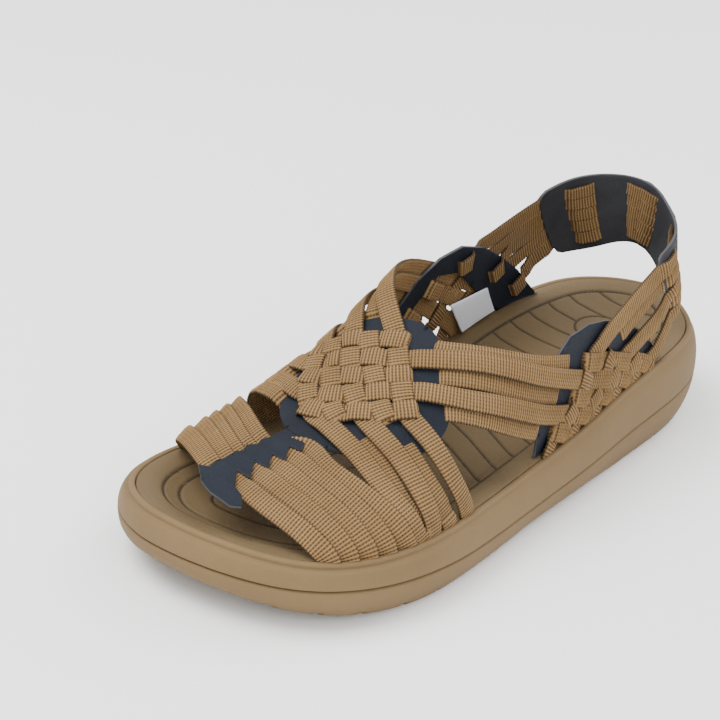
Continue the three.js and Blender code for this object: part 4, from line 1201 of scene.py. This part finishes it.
def build_strap(name, line):
    """The frame is worked out at few places; the ribs need many more between them."""
    coarse = np.linspace(0, line["total"], int(line["total"] / STATION_STEP))
    lengths = np.arange(0, line["total"], RIB_PITCH / RIB_STATIONS)
    frame_parts = strap_frame(line, coarse)
    point, normal, across = (between(lengths, coarse, part) for part in frame_parts)
    normal, across = unit(normal), unit(across)
    lift = lift_along(line, lengths)
    rib = np.cos(2 * math.pi * lengths / RIB_PITCH)
    half = width_along(line, lengths) / 2 * (1 + RIB_SPREAD * rib)
    u, w = SECTION[:, 0], SECTION[:, 1]
    up = w * (STRAP_THICKNESS / 2 + RIB_HEIGHT * rib[:, None]) - CROWN * u ** 2
    rings = point[:, None] + normal[:, None] * (lift[:, None] + up)[..., None]
    rings = rings + across[:, None] * (half[:, None] * u)[..., None]
    flat = np.broadcast_to(lengths[:, None], rings.shape[:2])
    lay = np.stack([flat, half[:, None] * u, np.broadcast_to(u, flat.shape)], -1)
    piece = link_mesh(name, skin(rings, lay), webbing)
    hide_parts("upper")


for family, lines in (
    ("toe_strap", toe_straps), ("rear_outer_strap", rear_outer),
    ("rear_inner_strap", rear_inner), ("heel_strap", heel_straps),
):
    for number, line in enumerate(lines, 1):
        build_strap(f"{family}_{number}", line)
    print("built", len(lines), family)

# %% [markdown]
# ## Leather
#
# Each leather part is cut flat first, as from a hide: its outline is filled, sliced by a
# grid of planes so that it can bend, given its thickness and soft edges, and only then
# laid over the last at its own level.

# %% Flat leather patterns
TOE_STRIP_OUTLINE = [
    [-0.34, 0.923], [-0.19, 0.946], [-0.05, 0.957], [0.13, 0.959], [0.18, 0.948], [0.12, 0.936],
    [0.02, 0.929], [-0.094, 0.903], [0.021, 0.903], [-0.073, 0.876], [0.036, 0.874],
    [-0.038, 0.851], [0.067, 0.852], [0.006, 0.829], [0.09, 0.826], [0.042, 0.809],
    [-0.154, 0.806], [-0.158, 0.832], [-0.2, 0.84], [-0.183, 0.849], [-0.23, 0.859],
    [-0.217, 0.868], [-0.25, 0.876], [-0.235, 0.884], [-0.265, 0.9], [-0.26, 0.918],
]
VAMP_OUTLINE = [
    [-0.16, 0.626], [0.12, 0.614], [0.26, 0.616], [0.38, 0.624], [0.51, 0.639], [0.61, 0.657],
    [0.69, 0.677], [0.72, 0.702], [0.69, 0.734], [0.58, 0.762], [0.4, 0.785], [0.2, 0.8],
    [0.03, 0.804], [-0.16, 0.802], [-0.31, 0.788], [-0.4, 0.767], [-0.46, 0.735], [-0.48, 0.7],
    [-0.46, 0.668], [-0.36, 0.641],
]
VAMP_OPENING = [[-0.33, 0.692], [0.0, 0.668], [0.3, 0.704], [0.17, 0.737], [-0.08, 0.748]]
QUARTERS = [
    {"name": "quarter_backing_outer", "side": 1,
     "outline": [
         [0.518, -0.15], [0.514, 0.16], [0.5, 0.346], [0.472, 0.458], [0.436, 0.526], [0.39, 0.516],
         [0.345, 0.458], [0.281, 0.338], [0.231, 0.185], [0.189, 0.033], [0.182, -0.28]],
     "opening": [
         [0.465, -0.26], [0.458, 0.054], [0.429, 0.203], [0.398, 0.3], [0.352, 0.222],
         [0.302, 0.102], [0.267, -0.043], [0.26, -0.35]]},
    {"name": "quarter_backing_inner", "side": -1,
     "outline": [
         [0.521, -0.15], [0.518, 0.261], [0.5, 0.456], [0.472, 0.568], [0.429, 0.633], [0.38, 0.631],
         [0.323, 0.532], [0.267, 0.387], [0.21, 0.219], [0.161, 0.027], [0.154, -0.28]],
     "opening": [
         [0.488, -0.26], [0.485, 0.2], [0.466, 0.4], [0.424, 0.52], [0.38, 0.47], [0.34, 0.345],
         [0.302, 0.202], [0.246, 0.03], [0.231, -0.36]]},
]
LABEL_OUTLINE = [[0.379, 0.271], [0.288, 0.226], [0.256, 0.033], [0.335, 0.028]]
SLICE_STEP = 2.2
EDGE_ROUND = 0.22
SHARP_ANGLE = 1.2


def closed_spline(corners, steps=6):
    wide = [corners[-1], *corners, corners[0], corners[1]]
    points = spline_points([[u, v, 0.0] for u, v in wide], steps)[:, :2]
    return points[steps:-2 * steps]


def add_loop(bm, corners):
    verts = [bm.verts.new((u, v, 0.0)) for u, v in corners]
    return [bm.edges.new((a, b)) for a, b in zip(verts, verts[1:] + verts[:1])]


def cut_pattern(corners, opening, thickness, step=SLICE_STEP):
    """A flat piece of hide, in millimetres, from 0 to thickness."""
    bm = bmesh.new()
    edges = add_loop(bm, corners)
    if opening is not None:
        edges += add_loop(bm, opening)
    bmesh.ops.triangle_fill(bm, use_beauty=True, use_dissolve=False, edges=edges)
    flat = np.array([v.co[:] for v in bm.verts])
    for axis in range(2):
        normal = [float(axis == 0), float(axis == 1), 0.0]
        for level in np.arange(flat[:, axis].min() + step / 2, flat[:, axis].max(), step):
            everything = bm.verts[:] + bm.edges[:] + bm.faces[:]
            spot = [part * float(level) for part in normal]
            bmesh.ops.bisect_plane(bm, geom=everything, plane_co=spot, plane_no=normal, dist=1e-5)
    raised = bmesh.ops.extrude_face_region(bm, geom=bm.faces[:])["geom"]
    top = [part for part in raised if isinstance(part, bmesh.types.BMVert)]
    bmesh.ops.translate(bm, vec=(0, 0, thickness), verts=top)
    bmesh.ops.recalc_face_normals(bm, faces=bm.faces)
    sharp = [edge for edge in bm.edges if edge.is_manifold and edge.calc_face_angle() > SHARP_ANGLE
             and abs(edge.verts[0].co.z - edge.verts[1].co.z) < 1e-6]
    bmesh.ops.bevel(
        bm, geom=sharp, offset=EDGE_ROUND, segments=2, profile=0.5, affect="EDGES", material=-1,
    )
    return bm


def lay_leather(name, bm, thickness, base, level, material, node):
    """Lays a flat pattern over the last. base turns flat places into seated points."""
    flat = np.array([v.co[:] for v in bm.verts])
    points = base(flat[:, 0], flat[:, 1])
    rise = level(points) + flat[:, 2] - thickness / 2
    points = points + last_normal(points) * rise[:, None]
    edge = np.clip(np.minimum(flat[:, 2], thickness - flat[:, 2]) / EDGE_ROUND, 0, 1)
    place_vertices(bm, points, np.stack([flat[:, 0], flat[:, 1], edge], -1))
    face_outwards(bm)
    piece = link_mesh(name, bm, material)
    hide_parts(node)
    print(name, "faces:", len(piece.data.polygons))


def above(corners):
    return [[across * BALL_WIDTH / 2, float(to_y(along))] for across, along in corners]


def at_level(level):
    return lambda points: np.full(len(points), float(level))


def beside(corners):
    return [
        [float(to_y(along)), float(sole_height("rim", along)) + up * INSTEP_HEIGHT]
        for along, up in corners
    ]


# %% [markdown]
# The strip over the toe straps has a scalloped inner edge and a sawtooth outer edge, and
# it puckers a little over each strap.

# %% Toe strip
STRIP_SINK = 0.25
STRIP_END_DROP = 1.8
STRIP_END = 0.82
STRIP_END_EASE = 0.012
STRIP_SLICE = 1.6
PUCKER = {"height": 0.35, "from": 0.903, "pitch": 0.0258}


def strip_level(points):
    along = to_along(points[:, 1])
    drop = STRIP_END_DROP * ease((STRIP_END - along) / STRIP_END_EASE)
    wave = np.sin((along - PUCKER["from"]) / PUCKER["pitch"] * 2 * math.pi)
    return TOE_DIP + LEATHER_STEP - STRIP_SINK - drop + PUCKER["height"] * wave


strip = cut_pattern(above(TOE_STRIP_OUTLINE), None, LEATHER_THICKNESS, STRIP_SLICE)
lay_leather(
    "toe_strip_dressed", strip, LEATHER_THICKNESS, on_top, strip_level,
    leather, "toe_strip",
)

# %% [markdown]
# The frame behind the woven square shows as a dark plate with rounded corners. The two
# side frames are the same idea, seen from the side.

# %% Frames behind the weave
BACKING_CLEARANCE = 0.6
vamp = cut_pattern(
    closed_spline(above(VAMP_OUTLINE)), closed_spline(above(VAMP_OPENING)), LEATHER_THICKNESS,
)
lay_leather(
    "vamp_backing_dressed", vamp, LEATHER_THICKNESS, on_top, at_level(BACKING_LEVEL),
    leather, "vamp_backing",
)


def quarter_pattern(quarter):
    """The frame's outline, open at its foot, with nothing lower than the rim."""
    corners = beside(quarter["outline"]) + beside(quarter["opening"])[::-1]
    bm = cut_pattern(corners, None, LEATHER_THICKNESS)
    for vertex in bm.verts:
        low = float(sole_height("rim", to_along(vertex.co.x))) + BACKING_CLEARANCE
        vertex.co.y = max(vertex.co.y, low)
    return bm


for quarter in QUARTERS:
    lay_leather(
        quarter["name"] + "_dressed", quarter_pattern(quarter), LEATHER_THICKNESS,
        lambda y, z, side=quarter["side"]: on_side(y, z, side), at_level(BACKING_LEVEL),
        leather, quarter["name"],
    )

# %% [markdown]
# The heel band is a wide strip of rough leather. The five heel straps pass out and in
# through it, so that three windows of webbing show on its inner face.

# %% Heel band
BAND_LENGTH = 150
BAND_HEIGHT = 36
BAND_CORNERS = [
    [0, 5], [2, 1], [6, 0], [144, 0], [148, 1], [150, 5],
    [150, 31], [147, 35], [143, 36], [7, 36], [3, 35], [0, 31],
]
band = cut_pattern(BAND_CORNERS, None, LEATHER_THICKNESS)
lay_leather(
    "heel_band_dressed", band, LEATHER_THICKNESS,
    lambda u, v: on_band(u / BAND_LENGTH, v / BAND_HEIGHT), at_level(0),
    suede, "heel_band",
)

# %% [markdown]
# The small sewn-in label hangs against the inner side. It is left blank.

# %% Label
LABEL_THICKNESS = 0.8
LABEL_LEVEL = BACKING_LEVEL - (LEATHER_THICKNESS + LABEL_THICKNESS) / 2 - 0.3
THREAD_WAVES = 9.0
label_finish, label_shader, _, label_lay = new_finish("label_satin", Roughness=0.55)
threads = (label_lay.part(0) * THREAD_WAVES).sine() * 0.5 + 0.5
thread_tint = threads.tint((0.0, (0.6, 0.62, 0.68)), (1.0, (0.72, 0.74, 0.8)))
feed(label_shader, "Base Color", thread_tint)
label = cut_pattern(beside(LABEL_OUTLINE), None, LABEL_THICKNESS)
lay_leather(
    "size_label_dressed", label, LABEL_THICKNESS, lambda y, z: on_side(y, z, -1),
    at_level(LABEL_LEVEL), label_finish, "size_label",
)

# %% [markdown]
# ## Floor and light
#
# The floor is a plain pale sheet. The light is soft and comes from above on all sides, with
# a large key light on the left, as in a product photograph.

# %% Floor
floor_finish = new_finish("floor", Roughness=0.9, Base_Color=(0.97, 0.97, 0.97, 1))[0]
bm = bmesh.new()
bmesh.ops.create_grid(bm, x_segments=1, y_segments=1, size=6)
floor_mesh = bpy.data.meshes.new("floor")
bm.to_mesh(floor_mesh)
bm.free()
floor = bpy.data.objects.new("floor", floor_mesh)
floor_mesh.materials.append(floor_finish)
bpy.context.scene.collection.objects.link(floor)


# %% Lights
def soft_light(name, spot, aim, size, power):
    lamp = bpy.data.lights.new(name, "AREA")
    lamp.size = size
    lamp.energy = power
    light = bpy.data.objects.new(name, lamp)
    spot, aim = np.array(spot, float), np.array(aim, float)
    back = unit(spot - aim)
    side = unit(np.cross([0.0, 0.0, 1.0], back) + np.array([1e-6, 0, 0]))
    rise = np.cross(back, side)
    light.matrix_world = posed(side, rise, back, spot)
    bpy.context.scene.collection.objects.link(light)


soft_light("key", [-0.5, -0.5, 1.2], [0, 0, 0.03], 0.9, 26)
soft_light("fill", [1.0, -0.7, 0.7], [0, 0, 0.03], 1.2, 12)
soft_light("rear", [0.2, 1.1, 1.0], [0, 0, 0.05], 1.0, 13)
world = bpy.data.worlds.new("studio")
world.use_nodes = True
sky = next(node for node in world.node_tree.nodes if node.type == "BACKGROUND")
sky.inputs["Color"].default_value = (1.0, 1.0, 1.0, 1)
sky.inputs["Strength"].default_value = 1.15
bpy.context.scene.world = world
